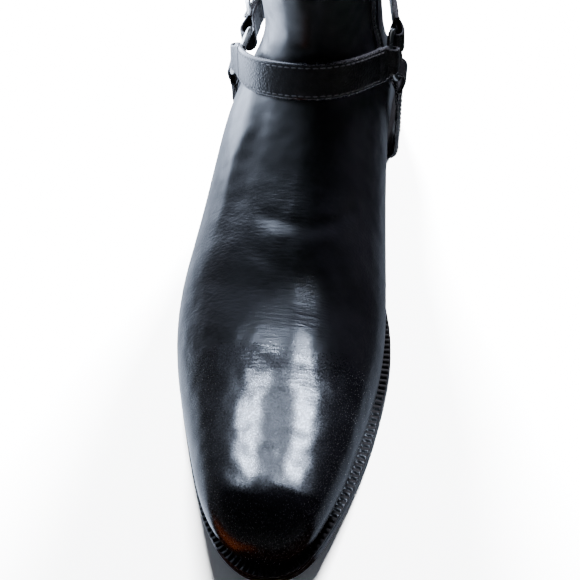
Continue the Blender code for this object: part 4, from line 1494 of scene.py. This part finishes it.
@dataclass
class Strap:
    """One harness strap: its middle line from the medial ring to the lateral one.

    It is a taut line in the plane of forward and x, drawn over the obstacles with the strap's own half
    thickness between, then eased at its bends and led into the rings over its first and last slip_steps.
    """

    name: str
    rings: tuple[Ring, Ring]
    forward: Vector
    obstacles: list[Vector]
    lift: Callable[[float], float] = lambda share: 0.0
    spacing_mm: float = 1.0
    pad_steps: int = 16
    slip_steps: int = 12
    ease_passes: int = 6
    centre: Vector = field(init=False)
    side: Vector = field(init=False)
    middles: list[Vector] = field(init=False)

    def __post_init__(self) -> None:
        """Draws the middle line."""
        self.centre = Vector((0, -RING_ALONG, RING_HEIGHT))
        self.side = Vector((1, 0, 0)).cross(self.forward)
        ends = [ring.wire(self.forward, LOOP_BORE) for ring in self.rings]
        flat = [(end.x, (end - self.centre).dot(self.forward)) for end in ends]
        padded = []
        for point in self.obstacles:
            x, run = point.x, (point - self.centre).dot(self.forward)
            share = 0.5 - math.atan2(x, max(run, 1e-6)) / math.pi
            pad = STRAP_CLEARANCE + STRAP_THICKNESS / 2 + self.lift(share)
            for step in range(self.pad_steps):
                angle = 2 * math.pi * step / self.pad_steps
                padded.append((x + pad * math.cos(angle), run + pad * math.sin(angle)))
        beyond = [point for point in padded if point[1] > max(flat[0][1], flat[1][1]) + STRAP_FREE_END]
        chain = np.array(taut_chain(beyond, *flat))
        travel = np.concatenate([[0], np.cumsum(np.linalg.norm(np.diff(chain, axis=0), axis=1))])
        length = float(travel[-1])
        even = np.linspace(0, length, int(length / (self.spacing_mm * MM)) + 1)
        line = np.stack([np.interp(even, travel, chain[:, axis]) for axis in (0, 1)], axis=1)
        for _ in range(self.ease_passes):
            line[1:-1] = (line[:-2] + 2 * line[1:-1] + line[2:]) / 4
        self.middles = [self.centre + Vector((x, 0, 0)) + self.forward * run for x, run in line]
        for end, ring_end in ((0, ends[0]), (-1, ends[1])):
            slip = ring_end - self.middles[end]
            for step in range(self.slip_steps):
                index = step if end == 0 else -1 - step
                self.middles[index] = self.middles[index] + slip * (1 - step / self.slip_steps)

    def frame(self, step: int) -> Axes:
        """The strap's axes at a step of its line.

        Args:
            step: counted from the medial ring.

        Returns:
            (middle, run, side, out).
        """
        run = unit(self.middles[min(step + 1, len(self.middles) - 1)] - self.middles[max(step - 1, 0)])
        out = unit(run.cross(self.side))
        if out.dot(self.middles[step] - self.centre) < 0:
            out = -out
        return self.middles[step], run, self.side, out


# A strap's section: points round it, and how square its edge and its face are (1 is an ellipse)
STRAP_PROFILE = 22
EDGE_SQUARENESS = 0.28
FACE_SQUARENESS = 0.45


def strap_profile(width: float, thickness: float) -> np.ndarray:
    """(across, through) round a strap's section, a flat band with rounded edges.

    Args:
        width: its width.
        thickness: its thickness.

    Returns:
        An array of STRAP_PROFILE points.
    """
    angles = np.linspace(0, 2 * math.pi, STRAP_PROFILE, endpoint=False)
    cosine, sine = np.cos(angles), np.sin(angles)
    across = np.sign(cosine) * np.abs(cosine) ** EDGE_SQUARENESS * width / 2
    through = np.sign(sine) * np.abs(sine) ** FACE_SQUARENESS * thickness / 2
    return np.stack([across, through], axis=1)


def sweep(
    name: str,
    frames: list[Axes],
    sizes: list[Flat],
    materials: Sequence[bpy.types.Material],
    edge_from: float = 0.9,
) -> bpy.types.Object:
    """A strap swept along frames, its edges in the second material.

    Args:
        name: the object's name.
        frames: (middle, run, side, out) for each step.
        sizes: (width, thickness) for each step.
        materials: the face's and the edge's.
        edge_from: share of the half width from which the edge begins.

    Returns:
        The object.
    """
    points = []
    for (middle, _, side, out), (width, thickness) in zip(frames, sizes):
        for across, through in strap_profile(width, thickness):
            points.append(middle + side * float(across) + out * float(through))
    faces = tube_faces(len(frames), STRAP_PROFILE)
    halfway = (np.arange(STRAP_PROFILE) + 0.5) * 2 * math.pi / STRAP_PROFILE
    at_edge = [int(across > edge_from) for across in np.abs(np.cos(halfway)) ** EDGE_SQUARENESS]
    return add_mesh(name, points, faces, materials, at_edge * (len(frames) - 1) + [1, 1], sharp=80)


# A stitch: points round it, and its rings as a share of its length and of the thread's radius
STITCH_SIDES = 7
STITCH_RINGS = ((0.0, 0.35), (0.18, 0.9), (0.5, 1.0), (0.82, 0.9), (1.0, 0.35))


def stitches(
    name: str, ends: list[tuple[Vector, Vector, Vector]], radius: float, material: bpy.types.Material
) -> bpy.types.Object:
    """Short thread pieces as one mesh.

    Args:
        name: the object's name.
        ends: (start, end, up) of each piece.
        radius: the thread's radius.
        material: its material.

    Returns:
        The object.
    """
    points, faces = [], []
    for start, end, up in ends:
        run = end - start
        side = unit(run.cross(up))
        top = unit(side.cross(run))
        faces += tube_faces(len(STITCH_RINGS), STITCH_SIDES, len(points))
        for share, size in STITCH_RINGS:
            for step in range(STITCH_SIDES):
                angle = 2 * math.pi * step / STITCH_SIDES
                spoke = side * math.cos(angle) + top * math.sin(angle)
                points.append(start + run * share + spoke * radius * size)
    return add_mesh(name, points, faces, [material])


# The folded end of a strap, from its outer end over the wire to its inner end: along the strap and out, in
# millimetres from the wire's middle
FOLD_PATH = (
    (15, 0.75), (11, 0.8), (7.5, 1.1), (4.5, 2.1), (2.2, 2.9), (0, 3.1), (-2.2, 2.6), (-3.6, 1.2),
    (-3.8, -0.6), (-2.6, -2.2), (-0.4, -2.9), (2.6, -2.4), (5.5, -1.2), (9, -0.8), (14, -0.75),
)  # fmt: skip
# The places across a strap, as shares of its width, where it feels for what lies under it
SKIN_SHARES = (-0.5, -0.33, -0.17, 0, 0.17, 0.33, 0.5)
SOLE_SHARES = (-0.5, -0.25, 0, 0.25, 0.5)


@dataclass
class Harness(Assembly):
    """Two rings and the three straps that hang on them, with their folded ends and stitching.

    loop_narrowing is how much narrower a folded end is at the wire, and loop_narrow_mm is where that
    begins and ends, counted from loop_middle_mm. buckle_share is the part of the rear strap's way where it
    starts to stand off under the buckle and does so fully. skin_from, skin_step and skin_levels are the
    heights over the welt where the under strap feels for the upper.
    """

    skin: Skin
    last: Last
    stitch_pitch_mm: float = 3.0
    stitch_inset_mm: float = 1.9
    stitch_gap: float = 0.12
    stitch_lift_mm: float = 0.02
    thread_radius_mm: float = 0.28
    loop_steps: int = 90
    loop_narrowing: float = 0.0042
    loop_narrow_mm: Flat = (2.5, 11.0)
    loop_middle_mm: float = -0.5
    buckle_share: Flat = (0.55, 0.80)
    skin_from: float = 0.004
    skin_step: float = 0.007
    skin_levels: int = 6
    band_inset: int = 3
    stitch_margin: int = 8
    ring_sides: int = 96
    wire_sides: int = 16
    threads: list[tuple[Vector, Vector, Vector]] = field(default_factory=list)
    rings: tuple[Ring, Ring] = field(init=False)

    def skin_obstacles(self, forward: Vector, half_turn: float = 100.0, steps: int = 100) -> list[Vector]:
        """Points of the skin under a strap's whole width.

        Args:
            forward: the strap's direction from the rings.
            half_turn: how far to either side to look, in degrees.
            steps: how many looks.

        Returns:
            The points.
        """
        centre = Vector((0, -RING_ALONG, RING_HEIGHT))
        side = Vector((1, 0, 0)).cross(forward)
        points = []
        for step in range(steps + 1):
            angle = math.radians(half_turn * (1 - 2 * step / steps))
            out = Vector((math.sin(angle), 0, 0)) + forward * math.cos(angle)
            for share in SKIN_SHARES:
                start = centre + side * (STRAP_WIDTH * share)
                points.append(start + out * self.skin.reach(start, out))
        return points

    def under_obstacles(self) -> list[Vector]:
        """What the strap under the waist lies on: the sole's edges and the skin over them.

        Returns:
            The points.
        """
        points = []
        for share in SOLE_SHARES:
            y = -UNDER_STRAP_ALONG + STRAP_WIDTH * share
            turn = float(turn_of(-y / SOLE_LENGTH))
            for side in Side:
                edge = float(self.last.edge(turn, side)[0])
                for height in (self.last.tread_height(y), self.last.welt_top(y)):
                    points.append(Vector((edge, y, float(height))))
                for level in range(self.skin_levels):
                    height = float(self.last.feather_height(y)) + self.skin_from + self.skin_step * level
                    reach = self.skin.reach((0, y, height), (side.value, 0, 0))
                    points.append(Vector((side.value * reach, y, height)))
        return points

    def build_loop(self, strap: Strap, ring: Ring, inner: int) -> None:
        """The end of a strap folded round its ring: a thin band out over the wire and back under.

        Args:
            strap: the strap.
            ring: the ring.
            inner: step of the strap's line where it is clear of the ring.
        """
        wire = ring.wire(strap.forward)
        along = unit(strap.middles[inner] - wire)
        out = unit(along.cross(strap.side))
        if out.dot(ring.out) < 0:
            out = -out
        last, nudge = len(FOLD_PATH) - 1, 0.02
        curve = smooth_curve(range(last + 1), FOLD_PATH)
        steps = np.linspace(0, last, self.loop_steps)
        ahead = curve(np.clip(steps + nudge, 0, last)) - curve(np.clip(steps - nudge, 0, last))
        frames, sizes = [], []
        for (u, o), (du, do) in zip(curve(steps), ahead):
            middle = wire + along * float(u * MM) + out * float(o * MM)
            run = unit(along * float(du) + out * float(do))
            frames.append((middle, run, strap.side, unit(strap.side.cross(run))))
            wide = float(eased(abs(u - self.loop_middle_mm), *self.loop_narrow_mm))
            sizes.append((STRAP_WIDTH - self.loop_narrowing * (1 - wide), LOOP_SKIN))
        name = f"{strap.name}_fold_{ring.side.name.lower()}"
        self.keep(sweep(name, frames, sizes, (self.finishes.strap, self.finishes.edge)), "strap_leather")

    def stitch_rows(self, strap: Strap) -> None:
        """Two rows of stitches along a strap's outer face.

        Args:
            strap: the strap.
        """
        pitch = int(self.stitch_pitch_mm / strap.spacing_mm)
        offset = STRAP_WIDTH / 2 - self.stitch_inset_mm * MM
        lift = STRAP_THICKNESS / 2 + self.stitch_lift_mm * MM
        for step in range(self.stitch_margin, len(strap.middles) - self.stitch_margin - pitch, pitch):
            for sign in (-1, 1):
                start, end = (
                    middle + side * (sign * offset) + out * lift
                    for middle, _, side, out in (strap.frame(step), strap.frame(step + pitch))
                )
                gap = (end - start) * self.stitch_gap
                self.threads.append((start + gap, end - gap, strap.frame(step)[3]))

    def build_strap(
        self,
        name: str,
        forward: Vector,
        obstacles: list[Vector],
        lift: Callable[[float], float] = lambda share: 0.0,
    ) -> None:
        """One strap with its folds and stitches.

        Args:
            name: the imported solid's name.
            forward: its direction from the rings.
            obstacles: what it lies on.
            lift: how far it stands off at a share of its way round.
        """
        strap = Strap(name, self.rings, forward, obstacles, lift)
        steps = range(self.band_inset, len(strap.middles) - self.band_inset)
        frames = [strap.frame(step) for step in steps]
        sizes = [(STRAP_WIDTH, STRAP_THICKNESS)] * len(frames)
        band = sweep(f"{name}_band", frames, sizes, (self.finishes.strap, self.finishes.edge))
        self.keep(band, "strap_leather", name)
        self.build_loop(strap, self.rings[0], strap.slip_steps)
        self.build_loop(strap, self.rings[1], -1 - strap.slip_steps)
        self.stitch_rows(strap)

    def build_ring(self, ring: Ring) -> None:
        """A round wire ring.

        Args:
            ring: where it lies.
        """
        up = ring.toward((0, 0, 1))
        ahead = ring.out.cross(up)
        points = []
        for step in range(self.ring_sides):
            angle = 2 * math.pi * step / self.ring_sides
            spoke = up * math.sin(angle) + ahead * math.cos(angle)
            for corner in range(self.wire_sides):
                bend = 2 * math.pi * corner / self.wire_sides
                reach = RING_RADIUS + RING_WIRE * math.cos(bend)
                points.append(ring.centre + spoke * reach + ring.out * (RING_WIRE * math.sin(bend)))
        side = ring.side.name.lower()
        faces = torus_faces(self.ring_sides, self.wire_sides)
        made = add_mesh(f"o_ring_{side}", points, faces, [self.finishes.steel])
        self.keep(made, "plated_steel", f"ring_{side}")

    def build(self) -> None:
        """Builds the rings and the straps."""
        self.rings = (Ring(self.skin, Side.MEDIAL), Ring(self.skin, Side.LATERAL))
        for ring in self.rings:
            self.build_ring(ring)
        front = unit((0, -FRONT_STRAP_REACH, FRONT_STRAP_RISE))
        self.build_strap("strap_front", front, self.skin_obstacles(front))
        rear = unit((0, REAR_STRAP_REACH, REAR_STRAP_RISE))
        self.build_strap(
            "strap_rear",
            rear,
            self.skin_obstacles(rear),
            lambda share: REAR_STANDOFF * float(eased(share, *self.buckle_share)),
        )
        down = unit((0, RING_ALONG - UNDER_STRAP_ALONG, -RING_HEIGHT))
        self.build_strap("strap_under", down, self.under_obstacles())
        threads = stitches("strap_stitches", self.threads, self.thread_radius_mm * MM, self.finishes.thread)
        self.keep(threads, "strap_leather")


# Faces of a box whose corners are counted along z first, then y, then x
BOX_FACES = ((0, 1, 3, 2), (4, 6, 7, 5), (0, 4, 5, 1), (2, 3, 7, 6), (0, 2, 6, 4), (1, 5, 7, 3))


@dataclass
class Zip(Assembly):
    """The side zip: tape, two rows of teeth, and the turned leather edge round the slot.

    Sizes are in metres where they don't say otherwise. tooth_across and tooth_through are a tooth's ends
    across the slot and out from the lining, tooth_height is a share of half the pitch. The turned edge
    stands edge_over above the collar, follows the skin up to edge_under below it, and sits edge_seat out of
    the wall's middle.
    """

    skin: Skin
    lining: Skin
    tooth_pitch_mm: float = 2.5
    tooth_height: float = 0.78
    tooth_across: Flat = (-0.0007, 0.0024)
    tooth_through: Flat = (-0.0002, 0.0021)
    edge_width: float = 0.0022
    edge_proud: float = 0.0006
    edge_over: float = 0.001
    edge_under: float = 0.0012
    edge_seat: float = 0.0001
    edge_steps: int = 110
    edge_turn_steps: int = 24
    tape_rows: int = 120
    tape_columns: int = 8
    collar: float = COLLAR_HEIGHT - COLLAR_DIP

    def build_tape(self) -> None:
        """The tape, which follows the lining's face up the zip's line."""
        heights = np.linspace(ZIP_FOOT - TAPE_TUCK, self.collar - TAPE_DROP, self.tape_rows + 1)
        points = []
        for distance in (-ZIP_CLEARANCE, -ZIP_CLEARANCE - ZIP_TAPE_THICKNESS):
            for z in heights:
                for share in np.linspace(-0.5, 0.5, self.tape_columns + 1):
                    y = -ZIP_ALONG + ZIP_TAPE_WIDTH * float(share)
                    points.append((self.lining.reach((0, y, float(z)), (1, 0, 0)) + distance, y, float(z)))
        faces = slab_faces(self.tape_rows, self.tape_columns, ends=True)
        self.keep(add_mesh("zip_woven_tape", points, faces, [self.finishes.tape]), "zip_tape", "zip_tape")

    def build_teeth(self) -> None:
        """Cast teeth from both sides, each half a pitch from the next."""
        low = ZIP_FOOT + ZIP_SLOT / 2
        high = self.collar - SLIDER_DROP - SLIDER_LENGTH - SEAT_GAP
        points, faces = [], []
        half_pitch = self.tooth_pitch_mm * MM / 2
        half_height = half_pitch * self.tooth_height / 2
        for number in range(int((high - low) / half_pitch)):
            z = low + half_pitch * (number + 0.5)
            side = 1 if number % 2 else -1
            face = self.lining.reach((0, -ZIP_ALONG, z), (1, 0, 0))
            faces += [[len(points) + corner for corner in corners] for corners in BOX_FACES]
            for through in self.tooth_through:
                for across in self.tooth_across:
                    for up in (-half_height, half_height):
                        points.append((face + through, -ZIP_ALONG + side * across, z + up))
        made = add_mesh("zip_chain", points, faces, [self.finishes.steel])
        bevel(made, 0.25, 2)
        self.keep(made, "plated_steel", "zip_teeth")

    def build_edge(self) -> None:
        """The leather turned in round the slot."""
        half = ZIP_SLOT / 2
        heights = np.linspace(self.collar + self.edge_over, ZIP_FOOT + half, self.edge_steps)
        path = [(-half, float(z)) for z in heights]
        for step in range(1, self.edge_turn_steps):
            angle = math.pi * step / self.edge_turn_steps
            path.append((-half * math.cos(angle), ZIP_FOOT + half - half * math.sin(angle)))
        path += [(half, float(z)) for z in heights[::-1]]
        frames = []
        for step, (y, z) in enumerate(path):
            reach = self.skin.reach((0, -ZIP_ALONG + y, min(z, self.collar - self.edge_under)), (1, 0, 0))
            middle = Vector((reach - WALL / 2 + self.edge_seat, -ZIP_ALONG + y, z))
            ahead, behind = path[min(step + 1, len(path) - 1)], path[max(step - 1, 0)]
            run = unit((0, ahead[0] - behind[0], ahead[1] - behind[1]))
            out = Vector((1, 0, 0))
            frames.append((middle, run, unit(run.cross(out)), out))
        sizes = [(self.edge_width, WALL + self.edge_proud)] * len(frames)
        made = sweep("zip_turned_edge", frames, sizes, (self.finishes.calf, self.finishes.calf))
        self.keep(made, "calf_leather")

    def build(self, frame: dict) -> None:
        """Builds the whole zip.

        Args:
            frame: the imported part.
        """
        self.build_tape()
        self.build_teeth()
        self.build_edge()
        steel = self.finishes.steel
        dress_solid(frame, "zip_slider", "slider_body", steel, 0.35, 3)
        dress_solid(frame, "zip_pull_tab", "tab_plate", steel, 0.35, 3, "pull_tab")


@dataclass
class Buckle(Assembly):
    """The rear strap's buckle frame, its prong and the leather keeper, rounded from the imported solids."""

    def build(self, frame: dict) -> None:
        """Rounds each solid.

        Args:
            frame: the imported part.
        """
        steel = self.finishes.steel
        dress_solid(frame, "buckle_frame", "buckle_wire", steel, 0.9, 4)
        dress_solid(frame, "buckle_prong", "buckle_pin", steel, 0.8, 4)
        dress_solid(frame, "keeper_loop", "keeper_band", self.finishes.strap, 0.5, 4)


@dataclass(frozen=True)
class Lamp:
    """A square key lamp for the matte surfaces. Place, aim and size are in metres in the boot's frame."""

    name: str
    place: Triple
    aim: Triple
    size: float
    radiance: float


LAMPS = (
    Lamp("key_left", (-0.60, 1.85, 0.95), (0.0, -0.15, 0.0), 0.40, 2600.0),
    Lamp("key_right", (0.60, 1.85, 0.95), (0.0, -0.15, 0.0), 0.40, 2600.0),
)


@dataclass(frozen=True)
class Card:
    """A flat studio card that is seen only in reflections. A flag also keeps brighter ones out of sight.

    low and high are opposite corners in metres in the boot's frame, turn is in degrees about the middle.
    """

    name: str
    low: Triple
    high: Triple
    radiance: float
    colour: str = "d6e5ff"
    turn: float = 0.0


CARDS = (
    Card("strip_left", (-0.915, -0.385, 1.5), (-0.425, -0.325, 1.5), 700.0, turn=-36.0),
    Card("strip_right", (0.25, -0.385, 1.5), (1.15, -0.325, 1.5), 700.0, turn=5.0),
    Card("overhead", (-0.50, -0.41, 1.52), (0.45, -0.20, 1.52), 4.5),
    Card("side_flag", (0.078, -0.34, 0.006), (0.078, -0.242, 0.10), 0.01),
    Card("tall_flag", (0.074, -0.246, 0.006), (0.074, 0.05, 0.36), 0.02),
    Card("sheen_flag", (-0.085, -0.256, 0.10), (-0.085, -0.125, 0.36), 0.7),
    Card("instep_flag", (-0.085, -0.125, 0.06), (-0.085, 0.03, 0.36), 15.0),
    Card("top_flag", (-0.085, -0.243, 0.36), (0.074, -0.02, 0.36), 0.10),
    Card("toe_flag", (-0.12, -0.40, 0.085), (0.12, -0.287, 0.085), 0.03),
    Card("ground", (-3.0, -3.0, 0.0008), (3.0, 3.0, 0.0008), 0.8),
    Card("middle_ground", (-0.45, -0.45, 0.0010), (0.3, 0.6, 0.0010), 1.7),
    Card("near_ground", (-0.20, -0.40, 0.0012), (0.2, 0.2, 0.0012), 3.0),
    Card("left_ground", (-1.0, 0.0, 0.0013), (-0.16, 0.6, 0.0013), 9.0),
    Card("medial_ground", (0.0, -0.40, 0.0014), (0.3, 0.1, 0.0014), 0.5),
    Card("front_ground", (-0.7, -1.6, 0.0016), (0.7, -0.300, 0.0016), 0.03, "b0653a"),
    Card("warm_ground", (-0.12, -0.44, 0.0020), (-0.03, -0.325, 0.0020), 0.8, "ff8048"),
    Card("left_window", (-1.5, 0.5, 0.1), (-1.5, 2.0, 0.9), 5.0),
)
# Cards over this radiance are worth the renderer's own samples
SAMPLED_RADIANCE = 100


@dataclass
class Studio:
    """Floor, lamps, dim surroundings and the camera, which keeps the photo's angle to the boot.

    The surroundings grow from dim, in front of the toe, to bright, behind the heel, over dim_range of the
    view's y. The camera's drop is its angle under level and its turn brings the one boot to the middle, in
    degrees.
    """

    shift: Vector
    floor_half: float = 4.0
    floor_drop: float = 0.0001
    surroundings: str = "e8eefb"
    dim: float = 0.10
    bright: float = 0.28
    dim_range: Flat = (-0.35, 0.5)
    place: Triple = (0.0611, -0.4224, 0.389)
    heading: Triple = (-0.0827, 0.9966, 0.0)
    drop: float = 55.7
    turn: float = 6.2
    focal_pixels: float = 930.0
    picture_pixels: float = 580.0
    sensor_mm: float = 36.0
    flags: bpy.types.Collection = field(default_factory=lambda: bpy.data.collections.new("flags"))

    def build_floor(self) -> None:
        """A wide pale sheet."""
        half = self.floor_half
        points = [(-half, -half, 0), (half, -half, 0), (half, half, 0), (-half, half, 0)]
        made = add_mesh("floor", points, [[0, 1, 2, 3]], [PaleFloor().material()])
        made.location.z = -self.floor_drop

    def build_lamp(self, spec: Lamp) -> None:
        """Adds one lamp.

        Args:
            spec: the lamp.
        """
        light = bpy.data.lights.new(spec.name, "AREA")
        light.shape = "RECTANGLE"
        light.size = light.size_y = spec.size
        light.energy = spec.radiance * math.pi * spec.size**2
        made = bpy.data.objects.new(spec.name, light)
        made.location = Vector(spec.place) + self.shift
        toward = Vector(spec.aim) - Vector(spec.place)
        made.rotation_euler = toward.to_track_quat("-Z", "Y").to_euler()
        made.visible_glossy = False
        made.light_linking.blocker_collection = self.flags
        bpy.context.scene.collection.objects.link(made)

    def build_card(self, spec: Card) -> None:
        """Adds one card.

        Args:
            spec: the card.
        """
        (x0, y0, z0), (x1, y1, z1) = spec.low, spec.high
        if x0 == x1:
            points = [(x0, y0, z0), (x0, y1, z0), (x0, y1, z1), (x0, y0, z1)]
        else:
            points = [(x0, y0, z0), (x1, y0, z0), (x1, y1, z1), (x0, y1, z1)]
        middle = (Vector(spec.low) + Vector(spec.high)) / 2
        turn = Matrix.Rotation(math.radians(spec.turn), 3, "Z")
        points = [middle + turn @ (Vector(point) - middle) for point in points]
        shader = Shader(spec.name)
        shader.set(
            Base_Color=linear("000000"),
            Specular_IOR_Level=0.0,
            Emission_Color=linear(spec.colour),
            Emission_Strength=spec.radiance,
        )
        sampled = spec.radiance > SAMPLED_RADIANCE
        shader.material.cycles.emission_sampling = "FRONT_BACK" if sampled else "NONE"
        made = add_mesh(spec.name, points, [[0, 1, 2, 3]], [shader.material])
        made.location = self.shift
        made.visible_camera = False
        made.visible_diffuse = False
        made.visible_shadow = "flag" in spec.name
        made.visible_transmission = False
        if made.visible_shadow:
            self.flags.objects.link(made)

    def build_world(self) -> None:
        """Dim surroundings, darker in front of the toe than behind the heel."""
        world = bpy.data.worlds.new("studio")
        bpy.context.scene.world = world
        world.use_nodes = True
        nodes = Nodes(world.node_tree)
        view = nodes.add("TexCoord", "Generated")
        low, high = self.dim_range
        along = nodes.add("SeparateXYZ", "Y", Vector=view)
        level = nodes.add(
            "MapRange", Value=along, From_Min=low, From_Max=high, To_Min=self.dim, To_Max=self.bright
        )
        background = {"Color": linear(self.surroundings), "Strength": level}
        nodes.fill(nodes.tree.nodes["Background"], background)

    def build_camera(self) -> None:
        """The photo's viewpoint."""
        drop = math.radians(self.drop)
        view = unit(self.heading) * math.cos(drop) - Vector((0, 0, math.sin(drop)))
        right = unit(view.cross(Vector((0, 0, 1))))
        up = right.cross(view)
        turn = Matrix.Rotation(math.radians(self.turn), 3, up)
        view, right = turn @ view, turn @ right
        data = bpy.data.cameras.new("camera")
        data.sensor_width = self.sensor_mm
        data.lens = self.focal_pixels / self.picture_pixels * self.sensor_mm
        data.clip_start = 0.01
        made = bpy.data.objects.new("camera", data)
        axes = Matrix((right, up, -view)).transposed()
        made.matrix_world = Matrix.Translation(Vector(self.place) + self.shift) @ axes.to_4x4()
        bpy.context.scene.collection.objects.link(made)
        bpy.context.scene.camera = made

    def build(self) -> None:
        """Sets up the whole studio. The flags cast no shadow from the lamps."""
        self.build_floor()
        for spec in CARDS:
            self.build_card(spec)
        for item in self.flags.collection_objects:
            item.light_linking.link_state = "EXCLUDE"
        for spec in LAMPS:
            self.build_lamp(spec)
        self.build_world()
        self.build_camera()


def main() -> None:
    """Builds the boot's looks in order, from the upper to the studio."""
    logging.basicConfig(level=logging.INFO)
    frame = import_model()
    finishes, last = Finishes(), Last()
    upper, sole = Upper(finishes, last), Sole(finishes, last)
    upper.build()
    sole.build()
    outer, inner = (Skin(last.skin(depth, *GUIDE_STEPS)) for depth in (0.0, WALL))
    harness, side_zip = Harness(finishes, outer, last), Zip(finishes, outer, inner)
    harness.build()
    side_zip.build(frame)
    Buckle(finishes).build(frame)
    _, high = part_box("outsole")
    widest = float(last.edge(np.linspace(0, 1, WIDEST_STEPS), Side.MEDIAL)[:, 0].max())
    shift = Vector((high.x - widest, high.y, 0))
    for group in (upper, sole, harness, side_zip):
        for piece in group.pieces:
            piece.location = shift
            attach(piece, "boot")
            log.info("%s: %d faces", piece.name, len(piece.data.polygons))
    Studio(shift).build()


if __name__ == "__main__":
    main()
